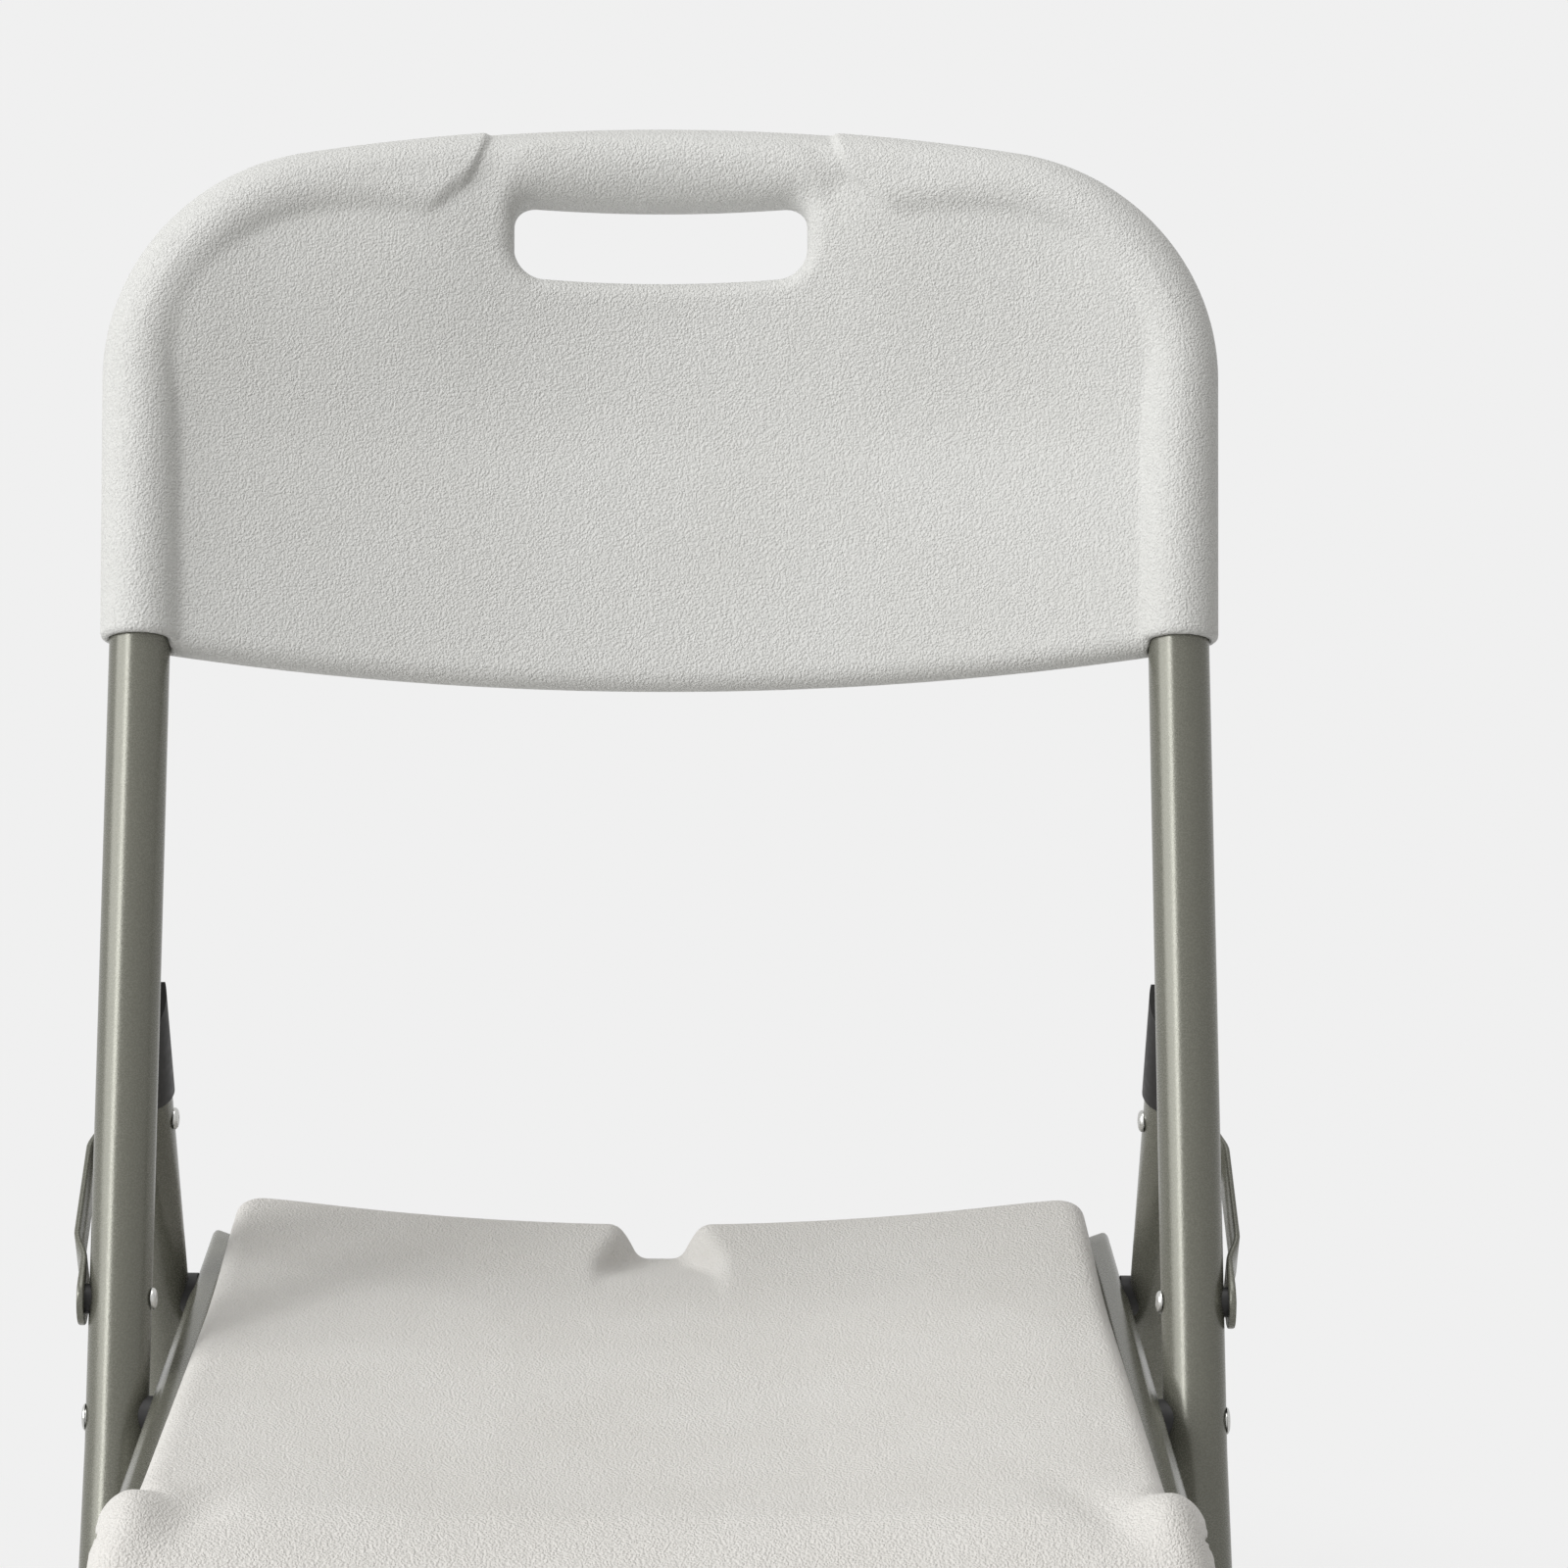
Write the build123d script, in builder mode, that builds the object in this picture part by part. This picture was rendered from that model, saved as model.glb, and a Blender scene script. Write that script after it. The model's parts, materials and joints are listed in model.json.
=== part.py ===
"""Folding chair with a moulded plastic seat and back on a steel tube frame.

The front legs lean back and end inside the sleeves of the back panel, which ties
their tops together.  The seat lies on two pressed rails that pivot on the front
legs.  The rear legs pivot on the rear of the rails, and a short link on each side
ties them to the front legs, so the chair folds as a four-bar linkage.

Millimetres, +Z up, the sitter faces -Y, the chair is symmetric about X = 0, and the
origin is on the floor under the middle of the chair.
"""

from build123d import *
from math import atan2, cos, degrees, radians, sin, tan
import os

os.makedirs("parts", exist_ok=True)

# ---------------------------------------------------------------- driving dimensions
FRONT_LEAN = 27.0            # front legs, back from vertical
REAR_LEAN = 23.6             # rear legs, forward from vertical
SEAT_SLOPE = 3.0             # seat, down towards the rear
LEG_SPLAY = 1.1              # front legs, outwards below the seat
PIVOT_HEIGHT = 400.0         # seat pivot above the floor
PIVOT_Y = -62.35             # seat pivot along the chair
HALF_TRACK = 213.5           # centre plane to the centre of each leg

TUBE_RADIUS = 12.5
TUBE_WALL = 1.2
BRACE_RADIUS = 9.5
BRACE_WALL = 1.0
SHEET = 1.5                  # pressed steel of the rails
GAP = 0.3                    # clearance between pieces that move past each other
RUNNING = 0.05               # radial clearance of a pivot in its hole

SLEEVE_BOTTOM = 322.0        # where the front legs enter the back panel
RIM_HALF = 215.9             # the panel's rim spreads to this before the top corners
CORNER_START = 430.2         # height of that point, along the legs
CORNER_RADIUS = 82.2         # top corners of the rim, at its centre line
CORNER_TURN = 80.5           # the rest of the turn is a wide arc across the top

REAR_PIVOT_BACK = 156.0      # seat pivot to rear leg pivot, along the seat
REAR_PIVOT_UP = 4.0          # and above the seat pivot's line
LINK_PIVOT_UP_LEG = 99.2     # rear leg pivot to link pivot, along the rear leg
LINK_PIVOT_UP_TUBE = 47.0    # seat pivot to link pivot, along the front leg

# ------------------------------------------------------------------ frames of reference
# Back plane: local X across, local Y up along the front legs, local Z to the front.
BACK_PLANE = Plane(
    origin=(0, PIVOT_Y, PIVOT_HEIGHT),
    x_dir=(1, 0, 0),
    z_dir=(0, -cos(radians(FRONT_LEAN)), sin(radians(FRONT_LEAN))),
)
# Seat plane: local X across, local Y to the rear along the rails, local Z up.
SEAT_PLANE = Plane(
    origin=(0, PIVOT_Y, PIVOT_HEIGHT),
    x_dir=(1, 0, 0),
    z_dir=(0, sin(radians(SEAT_SLOPE)), cos(radians(SEAT_SLOPE))),
)
SEAT_PIVOT = Vector(0, PIVOT_Y, PIVOT_HEIGHT)
LINK_FRONT_PIVOT = BACK_PLANE.from_local_coords(Vector(0, LINK_PIVOT_UP_TUBE, 0))
REAR_LEG_PIVOT = SEAT_PLANE.from_local_coords(Vector(0, REAR_PIVOT_BACK, REAR_PIVOT_UP))
REAR_LEG_UP = Vector(0, -sin(radians(REAR_LEAN)), cos(radians(REAR_LEAN)))
REAR_LEG_BACK = Vector(0, cos(radians(REAR_LEAN)), sin(radians(REAR_LEAN)))
LINK_REAR_PIVOT = REAR_LEG_PIVOT + REAR_LEG_UP * LINK_PIVOT_UP_LEG
ACROSS = Vector(HALF_TRACK, 0, 0)

pieces = {}


# ------------------------------------------------------------------------ small helpers
def rod(start, end, radius, bore=0.0):
    """A straight round bar or tube from one point to another."""
    with BuildPart() as bar:
        with BuildSketch(Plane(origin=start, z_dir=end - start)):
            Circle(radius)
            if bore:
                Circle(bore, mode=Mode.SUBTRACT)
        extrude(amount=(end - start).length)
    return bar.part


def cross_rod(pivot, radius, x_from, x_to):
    """A round bar along X through a pivot point, between two X positions."""
    return rod(Vector(x_from, pivot.Y, pivot.Z), Vector(x_to, pivot.Y, pivot.Z), radius)


def rivet(pivot, shank_radius, inner, outer, head_radius, inner_head, outer_head):
    """A rivet along +X whose heads sit on the faces at inner and outer."""
    rivet_plane = Plane(origin=(0, pivot.Y, pivot.Z), x_dir=(1, 0, 0), z_dir=(0, -1, 0))
    crown = head_radius * 0.6
    with BuildPart() as piece:
        with BuildSketch(rivet_plane):
            with BuildLine():
                Polyline(
                    (inner - inner_head, 0),
                    (outer + outer_head, 0),
                    (outer + outer_head, crown),
                    (outer, head_radius),
                    (outer, shank_radius),
                    (inner, shank_radius),
                    (inner, head_radius),
                    (inner - inner_head, crown),
                    close=True,
                )
            make_face()
        revolve(axis=Axis(origin=(0, pivot.Y, pivot.Z), direction=(1, 0, 0)))
    return piece.part


def both_sides(part):
    """The part and its mirror image, as two separate solids of one node."""
    with BuildPart() as pair:
        add(part)
        mirror(part, about=Plane.YZ)
    return pair


def left_of(part):
    """The left-hand twin of a right-hand part."""
    with BuildPart() as twin:
        mirror(part, about=Plane.YZ, mode=Mode.REPLACE)
    return twin


# ===================================================================== front frame
SPLAY_START = -10.0          # the legs begin to spread just under the seat pivot
SPLAY_BEND_RADIUS = 200.0
LEG_LENGTH = PIVOT_HEIGHT / cos(radians(FRONT_LEAN))
FOOT_PAD = 7.0               # plastic between a tube end and the floor, along the tube

splay_low = SPLAY_START - SPLAY_BEND_RADIUS * sin(radians(LEG_SPLAY))
splay_bend_out = SPLAY_BEND_RADIUS * (1 - cos(radians(LEG_SPLAY)))


def front_leg_x(up):
    """Centre of the right front leg at a height along the leg below the splay bend."""
    return HALF_TRACK + splay_bend_out + (splay_low - up) * tan(radians(LEG_SPLAY))


FRONT_FLOOR = BACK_PLANE.from_local_coords(Vector(front_leg_x(-LEG_LENGTH), -LEG_LENGTH, 0))
FRONT_LEG_BEND = BACK_PLANE.from_local_coords(Vector(front_leg_x(splay_low), splay_low, 0))
FRONT_LEG_UP = (FRONT_LEG_BEND - FRONT_FLOOR).normalized()

TUBE_FOOT_UP = -(LEG_LENGTH - FOOT_PAD)
TUBE_TOP_UP = 446.0          # inside the back panel's sleeve
LINK_RIVET_RADIUS = 3.0
PIVOT_RIVET_RADIUS = 4.0
PANEL_SCREW_RADIUS = 2.0
PANEL_SCREW_HEIGHTS = (342.0, 424.0)
RIM_RADIUS = 16.2            # back panel around the tube

link_front_bores = both_sides(
    cross_rod(LINK_FRONT_PIVOT, LINK_RIVET_RADIUS, HALF_TRACK - 20, HALF_TRACK + 20)
).part
seat_pivot_bores = both_sides(
    cross_rod(SEAT_PIVOT, PIVOT_RIVET_RADIUS, HALF_TRACK - 30, HALF_TRACK + 20)
).part


def panel_screw_points():
    """Where the back panel's screws enter the rear of the tube, right side then left."""
    return [(side * HALF_TRACK, up) for side in (1, -1) for up in PANEL_SCREW_HEIGHTS]


def panel_screw_shanks(radius, depth):
    """Straight shanks from behind the back panel to a depth inside the tube."""
    with BuildPart() as shanks:
        with BuildSketch(BACK_PLANE.offset(-RIM_RADIUS - 1)):
            with Locations(*panel_screw_points()):
                Circle(radius)
        extrude(amount=depth + 1)
    return shanks.part


screw_bores = panel_screw_shanks(PANEL_SCREW_RADIUS, 9.0)

# Each front leg is one steel tube, drilled for its rivets and the back panel's screws.
with BuildPart() as front_leg_right:
    with BuildLine(BACK_PLANE) as leg_line:
        shin = Line((front_leg_x(TUBE_FOOT_UP), TUBE_FOOT_UP), (front_leg_x(splay_low), splay_low))
        bend = JernArc(shin @ 1, shin % 1, SPLAY_BEND_RADIUS, LEG_SPLAY * -1)
        Line(bend @ 1, BACK_PLANE.from_local_coords(Vector(HALF_TRACK, TUBE_TOP_UP, 0)))
    with BuildSketch(Plane(origin=leg_line.line @ 0, z_dir=leg_line.line % 0)):
        Circle(TUBE_RADIUS)
        Circle(TUBE_RADIUS - TUBE_WALL, mode=Mode.SUBTRACT)
    sweep(path=leg_line.line)
    add(link_front_bores, mode=Mode.SUBTRACT)
    add(seat_pivot_bores, mode=Mode.SUBTRACT)
    add(screw_bores, mode=Mode.SUBTRACT)
pieces["front_leg_right"] = front_leg_right
pieces["front_leg_left"] = left_of(front_leg_right.part)

# The brace between the front legs, coped to sit on both of them.
FRONT_BRACE_UP = -292.0
front_brace_centre = BACK_PLANE.from_local_coords(Vector(0, FRONT_BRACE_UP, 0))
front_legs_solid = both_sides(rod(FRONT_FLOOR, FRONT_LEG_BEND, TUBE_RADIUS)).part
with BuildPart() as front_cross_brace:
    reach = front_leg_x(FRONT_BRACE_UP)
    add(
        rod(
            front_brace_centre - Vector(reach, 0, 0),
            front_brace_centre + Vector(reach, 0, 0),
            BRACE_RADIUS,
            BRACE_RADIUS - BRACE_WALL,
        )
    )
    add(front_legs_solid, mode=Mode.SUBTRACT)
pieces["front_cross_brace"] = front_cross_brace

# Feet: plastic cups over the tube ends, cut level where they stand on the floor.
FOOT_RADIUS = 14.8
FOOT_HEIGHT = 42.0


def foot(floor_point, up):
    """A cup over the end of a leg whose centre line meets the floor at a point."""
    with BuildPart() as cup:
        add(rod(floor_point - up * 25, floor_point + up * FOOT_HEIGHT, FOOT_RADIUS))
        rim_edge = cup.edges().sort_by(Axis(floor_point, up))[-1]
        chamfer(rim_edge, 1.0)
        add(rod(floor_point + up * FOOT_PAD, floor_point + up * 60, TUBE_RADIUS), mode=Mode.SUBTRACT)
        split(bisect_by=Plane.XY)
    return cup


front_foot_right = foot(FRONT_FLOOR, FRONT_LEG_UP)
pieces["front_foot_right"] = front_foot_right
pieces["front_foot_left"] = left_of(front_foot_right.part)

# ----------------------------------------------------------------------- back panel
EDGE_ENDS = 315.0            # lower edge of the panel at the sleeves
EDGE_SAG = 14.0              # and how much lower it hangs in the middle
PANEL_WALL = 3.0
FRONT_HOLLOW_RADIUS = 1500.0
HOLLOW_DEPTH = 9.0           # panel surface behind the tube centre, in the middle
PANEL_THICKNESS = 17.0
GRIP_HALF_WIDTH = 80.0
GRIP_RADIUS = 13.8
SLOT_WIDTH = 124.0
SLOT_HEIGHT = 32.5
SLOT_UP = 486.8
SLOT_CORNER = 11.0
rim_lean = atan2(RIM_HALF - HALF_TRACK, CORNER_START - SLEEVE_BOTTOM)
top_arc_half_turn = radians(90.0 - CORNER_TURN)
corner_end_x = RIM_HALF - CORNER_RADIUS * (cos(rim_lean) - cos(radians(CORNER_TURN)))
corner_end_up = CORNER_START + CORNER_RADIUS * (sin(rim_lean) + sin(radians(CORNER_TURN)))
TOP_ARC_RADIUS = corner_end_x / sin(top_arc_half_turn)
TOP_OF_RIM = corner_end_up + TOP_ARC_RADIUS * (1 - cos(top_arc_half_turn))


def rim_path(bottom, inset=0.0, plane=BACK_PLANE):
    """Centre line of the rim, down to one height on both sides, or a line inside it."""
    corner_x = RIM_HALF - inset * cos(rim_lean)
    corner_up = CORNER_START + inset * sin(rim_lean)
    foot_x = corner_x - (corner_up - bottom) * tan(rim_lean)
    corner_turn = CORNER_TURN + degrees(rim_lean)
    top_turn = 2 * degrees(top_arc_half_turn)
    with BuildLine(plane) as path:
        rise = Line((foot_x, bottom), (corner_x, corner_up))
        right = JernArc(rise @ 1, rise % 1, CORNER_RADIUS - inset, corner_turn)
        top = JernArc(right @ 1, right % 1, TOP_ARC_RADIUS - inset, top_turn)
        left = JernArc(top @ 1, top % 1, CORNER_RADIUS - inset, corner_turn)
        Line(left @ 1, plane.from_local_coords(Vector(-foot_x, bottom, 0)))
    return path.line


def section_plane(base, along):
    """Plane across a base plane: local X across, local Y out of the base plane."""
    return Plane(
        origin=base.from_local_coords(Vector(0, along, 0)), x_dir=(1, 0, 0), z_dir=-base.y_dir
    )


def side_plane(base, x):
    """Plane seen from the right: local X along the base plane's Y, local Y out of it."""
    return Plane(
        origin=base.from_local_coords(Vector(x, 0, 0)), x_dir=base.y_dir, z_dir=(1, 0, 0)
    )


def curved_slab(front_gap, back_gap, inset, top, bottom_lift):
    """The panel between its rims: hollow to the front, inside the line of the rim."""
    front_radius = FRONT_HOLLOW_RADIUS - front_gap
    back_radius = FRONT_HOLLOW_RADIUS + PANEL_THICKNESS + back_gap
    centre_front = FRONT_HOLLOW_RADIUS - HOLLOW_DEPTH
    with BuildPart() as slab:
        with BuildSketch(section_plane(BACK_PLANE, top)):
            with Locations((0, centre_front)):
                Circle(back_radius)
                Circle(front_radius, mode=Mode.SUBTRACT)
            with Locations((0, -HOLLOW_DEPTH)):
                Rectangle(2 * (RIM_HALF - inset), 80, mode=Mode.INTERSECT)
        extrude(amount=top - 250)
        with BuildSketch(BACK_PLANE.offset(-60)):
            with BuildLine():
                low = EDGE_ENDS + bottom_lift
                outline = rim_path(low, inset, Plane.XY)
                add(outline)
                ThreePointArc(outline @ 1, (0, low - EDGE_SAG), outline @ 0)
            make_face()
        extrude(amount=120, mode=Mode.INTERSECT)
    return slab.part


sleeve_bores = both_sides(
    rod(
        BACK_PLANE.from_local_coords(Vector(HALF_TRACK, EDGE_ENDS - 15, 0)),
        BACK_PLANE.from_local_coords(Vector(HALF_TRACK, TUBE_TOP_UP, 0)),
        TUBE_RADIUS,
    )
).part
with BuildPart() as back_panel:
    rim_line = rim_path(SLEEVE_BOTTOM)
    with BuildSketch(Plane(origin=rim_line @ 0, z_dir=rim_line % 0)):
        Circle(RIM_RADIUS)
    sweep(path=rim_line)
    add(curved_slab(0, 0, 0, TOP_OF_RIM - 20, 0))
    # The handle: a thicker bar under the middle of the rim.
    with BuildSketch(side_plane(BACK_PLANE, -GRIP_HALF_WIDTH)):
        with BuildLine():
            Polyline(
                (446, -9.0),
                (470, -5.0),
                (505, 5.0),
                (517, 12.5),
                (TOP_OF_RIM, GRIP_RADIUS),
                (TOP_OF_RIM, -GRIP_RADIUS),
                (512, -GRIP_RADIUS - 1),
                (446, -24.0),
                (446, -9.0),
            )
        make_face()
    extrude(amount=2 * GRIP_HALF_WIDTH)
    # The rim is stepped down to the handle in front, along a curve at each end.
    with BuildSketch(BACK_PLANE.offset(GRIP_RADIUS)):
        with BuildLine():
            step = Spline((86, 500), (79, 512), (72, 528), (70, 548))
            Line(step @ 1, (0, 548))
            Line((0, 548), (0, 500))
            Line((0, 500), step @ 0)
        make_face()
        mirror(about=Plane.YZ)
    extrude(amount=RIM_RADIUS, mode=Mode.SUBTRACT)
    with BuildSketch(BACK_PLANE.offset(-60)):
        with Locations((0, SLOT_UP)):
            RectangleRounded(SLOT_WIDTH, SLOT_HEIGHT, SLOT_CORNER)
    extrude(amount=120, mode=Mode.SUBTRACT)
    # The sleeves that the front legs are pushed into from below.
    add(sleeve_bores, mode=Mode.SUBTRACT)
    # The moulding is hollow between its two skins, below the handle.
    add(
        curved_slab(-PANEL_WALL, -PANEL_WALL, RIM_RADIUS + PANEL_WALL, 434, 5),
        mode=Mode.SUBTRACT,
    )
    add(screw_bores, mode=Mode.SUBTRACT)
pieces["back_panel"] = back_panel

# Pan-head screws through the rear of each sleeve into the tube.
with BuildPart() as back_panel_screws:
    add(panel_screw_shanks(PANEL_SCREW_RADIUS, 9.0))
    with BuildSketch(BACK_PLANE.offset(-RIM_RADIUS)):
        with Locations(*panel_screw_points()):
            Circle(4.0)
    extrude(amount=-2.4)
pieces["back_panel_screws"] = back_panel_screws

# =========================================================================== seat
RAIL_OUTER = 197.0           # outer face of the rail's web
RAIL_TOP = 14.2              # above the seat pivot's line
RAIL_BOTTOM = -14.0
RAIL_INNER = 187.0           # inner face of the rail's inner web
RAIL_FLANGE_EDGE = 160.0     # inner edge of the flange under the seat panel
RAIL_REAR = 219.0
RAIL_FRONT = -180.0
RAIL_END_RADIUS = 9.0
RAIL_EDGE_RADIUS = 3.2       # bends along the top of the channel
LIP_RADIUS = 1.6             # rolled lip along the outer face
LIP_HEIGHT = 10.5
LIP_REAR = 143.0             # the lip stops short of the rear pivot's bush
SEAT_BOTTOM = 0.0            # panel underside, resting on the flanges

rear_leg_bores = both_sides(
    cross_rod(REAR_LEG_PIVOT, PIVOT_RIVET_RADIUS + RUNNING, RAIL_INNER + 4, RAIL_OUTER + 4)
).part
rail_pivot_bores = both_sides(
    cross_rod(SEAT_PIVOT, PIVOT_RIVET_RADIUS + RUNNING, RAIL_INNER + 4, RAIL_OUTER + 4)
).part
SEAT_SCREW_SPACING = (-120.0, -40.0, 60.0, 140.0)
SEAT_SCREW_X = 172.0
SEAT_SCREW_RADIUS = 2.0
seat_screw_points = [(side * SEAT_SCREW_X, back) for side in (1, -1) for back in SEAT_SCREW_SPACING]


def seat_screw_shanks(low, high):
    """Straight shanks of the seat screws between two heights in the seat plane."""
    with BuildPart() as shanks:
        with BuildSketch(SEAT_PLANE.offset(low)):
            with Locations(*seat_screw_points):
                Circle(SEAT_SCREW_RADIUS)
        extrude(amount=high - low)
    return shanks.part


seat_screw_bores = seat_screw_shanks(-4, 10)

# One rail: an inverted channel with a flange under the panel and a lip outside.
with BuildPart() as seat_rail_right:
    with BuildSketch(section_plane(SEAT_PLANE, RAIL_REAR)) as channel:
        with BuildLine():
            Polyline(
                (RAIL_OUTER, RAIL_BOTTOM),
                (RAIL_OUTER, RAIL_TOP),
                (RAIL_INNER, RAIL_TOP),
                (RAIL_INNER, SEAT_BOTTOM),
                (RAIL_FLANGE_EDGE, SEAT_BOTTOM),
                (RAIL_FLANGE_EDGE, SEAT_BOTTOM - SHEET),
                (RAIL_INNER + SHEET, SEAT_BOTTOM - SHEET),
                (RAIL_INNER + SHEET, RAIL_TOP - SHEET),
                (RAIL_OUTER - SHEET, RAIL_TOP - SHEET),
                (RAIL_OUTER - SHEET, RAIL_BOTTOM),
                (RAIL_OUTER, RAIL_BOTTOM),
            )
        make_face()
        fillet(channel.vertices().group_by(Axis.Y)[-1], RAIL_EDGE_RADIUS)
        fillet(channel.vertices().filter_by_position(Axis.Y, RAIL_TOP - SHEET, RAIL_TOP - SHEET),
               RAIL_EDGE_RADIUS - SHEET)
    extrude(amount=RAIL_REAR - RAIL_FRONT)
    with BuildSketch(section_plane(SEAT_PLANE, LIP_REAR)):
        with Locations((RAIL_OUTER, LIP_HEIGHT)):
            Circle(LIP_RADIUS)
        with Locations((RAIL_OUTER - 5, LIP_HEIGHT)):
            Rectangle(10 - 2 * SHEET, 2 * RAIL_TOP, mode=Mode.SUBTRACT)
    extrude(amount=LIP_REAR - RAIL_FRONT)
    with BuildSketch(side_plane(SEAT_PLANE, RAIL_FLANGE_EDGE - 5)):
        with Locations(((RAIL_REAR + RAIL_FRONT) / 2, (RAIL_TOP + RAIL_BOTTOM) / 2)):
            RectangleRounded(RAIL_REAR - RAIL_FRONT, RAIL_TOP - RAIL_BOTTOM, RAIL_END_RADIUS)
    extrude(amount=50, mode=Mode.INTERSECT)
    add(rear_leg_bores, mode=Mode.SUBTRACT)
    add(rail_pivot_bores, mode=Mode.SUBTRACT)
    add(seat_screw_bores, mode=Mode.SUBTRACT)
pieces["seat_rail_right"] = seat_rail_right
pieces["seat_rail_left"] = left_of(seat_rail_right.part)

# Two cross tubes join the rails under the panel.
SEAT_TUBE_RADIUS = 7.0
for tube_name, tube_back in (("seat_front_cross_tube", -135.0), ("seat_rear_cross_tube", 112.0)):
    with BuildPart() as cross_tube:
        tube_centre = SEAT_PLANE.from_local_coords(
            Vector(0, tube_back, SEAT_BOTTOM - SHEET - SEAT_TUBE_RADIUS)
        )
        add(
            rod(
                tube_centre - Vector(RAIL_OUTER - SHEET, 0, 0),
                tube_centre + Vector(RAIL_OUTER - SHEET, 0, 0),
                SEAT_TUBE_RADIUS,
                SEAT_TUBE_RADIUS - BRACE_WALL,
            )
        )
    pieces[tube_name] = cross_tube

# The moulded seat panel.
SEAT_HALF = 184.5
FLARE_HALF = 201.5           # the front corners spread over the rails
SEAT_REAR = 206.0
SEAT_FRONT = -208.0
FLARE_START = -146.0
SEAT_TOP = 22.0
CORNER_TOP = 33.0            # raised rear corners
FRONT_CORNER_RADIUS = 15.0
DISH_RADIUS = 1500.0
DISH_HALF = 230.0            # the dish is cut wider than the panel
DISH_BOTTOM = 16.5
DISH_LIFT_START = 95.0       # from here the dish rises to the rear edge
DISH_LIFT = 4.0              # degrees
DISH_LIFT_RADIUS = 900.0
with BuildPart() as seat_panel:
    with BuildSketch(SEAT_PLANE):
        with BuildLine():
            rear = Line((0, SEAT_REAR), (SEAT_HALF - 14, SEAT_REAR))
            corner = JernArc(rear @ 1, rear % 1, 14, -90)
            side = Line(corner @ 1, (SEAT_HALF, FLARE_START))
            Spline(
                (SEAT_HALF, FLARE_START),
                (193.0, -160.0),
                (FLARE_HALF, -186.0),
                tangents=[(0.35, -1), (0, -1)],
            )
            front_corner = JernArc((FLARE_HALF, -186.0), (0, -1), FRONT_CORNER_RADIUS, -87)
            ThreePointArc(front_corner @ 1, (92.0, -206.3), (0, SEAT_FRONT))
            Line((0, SEAT_FRONT), (0, SEAT_REAR))
        make_face()
        mirror(about=Plane.YZ)
    extrude(amount=CORNER_TOP + 5)
    with BuildSketch(side_plane(SEAT_PLANE, -220)):
        with BuildLine():
            Polyline(
                (SEAT_FRONT + 3, SEAT_BOTTOM),
                (SEAT_REAR - 3, SEAT_BOTTOM),
                (SEAT_REAR, 3.0),
                (SEAT_REAR, CORNER_TOP - 5),
            )
            ThreePointArc(
                (SEAT_REAR, CORNER_TOP - 5),
                (SEAT_REAR - 2, CORNER_TOP - 1),
                (SEAT_REAR - 7, CORNER_TOP),
            )
            Spline(
                (SEAT_REAR - 7, CORNER_TOP),
                (150, SEAT_TOP + 4.5),
                (70, SEAT_TOP),
                (-60, SEAT_TOP - 1),
                (-150, SEAT_TOP),
                (SEAT_FRONT + 18, 17.0),
                (SEAT_FRONT, 5.0),
            )
            Line((SEAT_FRONT, 5.0), (SEAT_FRONT + 3, SEAT_BOTTOM))
        make_face()
    extrude(amount=440, mode=Mode.INTERSECT)
    # The sitting surface is dished from side to side, and rises towards the rear edge.
    with BuildLine(side_plane(SEAT_PLANE, 0)) as dish_line:
        level = Line((SEAT_FRONT - 20, DISH_BOTTOM), (DISH_LIFT_START, DISH_BOTTOM))
        lift = JernArc(level @ 1, level % 1, DISH_LIFT_RADIUS, DISH_LIFT)
        Line(lift @ 1, lift @ 1 + lift % 1 * 80)
    with BuildSketch(section_plane(SEAT_PLANE, SEAT_FRONT - 20)):
        with BuildLine():
            dish_edge = DISH_BOTTOM + DISH_HALF**2 / (2 * DISH_RADIUS)
            ThreePointArc((-DISH_HALF, dish_edge), (0, DISH_BOTTOM), (DISH_HALF, dish_edge))
            Polyline(
                (DISH_HALF, dish_edge), (DISH_HALF, 60), (-DISH_HALF, 60), (-DISH_HALF, dish_edge)
            )
        make_face()
    sweep(path=dish_line.line, mode=Mode.SUBTRACT)
    # A dip in the middle of the rear edge.
    with BuildSketch(section_plane(SEAT_PLANE, SEAT_REAR + 5)):
        Polygon((-10, 7), (10, 7), (19, 38), (-19, 38), align=None)
    with BuildSketch(section_plane(SEAT_PLANE, 118)):
        Polygon((-22, 17), (22, 17), (30, 38), (-30, 38), align=None)
    loft(mode=Mode.SUBTRACT)
    # Room for the front ends of the rails under the spread corners.
    for side in (1, -1):
        with BuildSketch(SEAT_PLANE.offset(SEAT_BOTTOM - 1)):
            with Locations((side * (SEAT_HALF + 10), -140)):
                Rectangle(20, 81)
        extrude(amount=RAIL_TOP + 1 + GAP, mode=Mode.SUBTRACT)
    # Hollow between the skins.
    with BuildSketch(SEAT_PLANE.offset(SEAT_BOTTOM + 3)):
        Rectangle(320, 350)
        with Locations((0, 150)):
            Rectangle(76, 100, mode=Mode.SUBTRACT)
    extrude(amount=10, mode=Mode.SUBTRACT)
    add(seat_screw_bores, mode=Mode.SUBTRACT)
pieces["seat_panel"] = seat_panel

# Screws up through the flanges into the panel.
with BuildPart() as seat_screws:
    add(seat_screw_shanks(SEAT_BOTTOM - SHEET, 10))
    with BuildSketch(SEAT_PLANE.offset(SEAT_BOTTOM - SHEET)):
        with Locations(*seat_screw_points):
            Circle(4.2)
    extrude(amount=-2.2)
pieces["seat_screws"] = seat_screws

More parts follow.
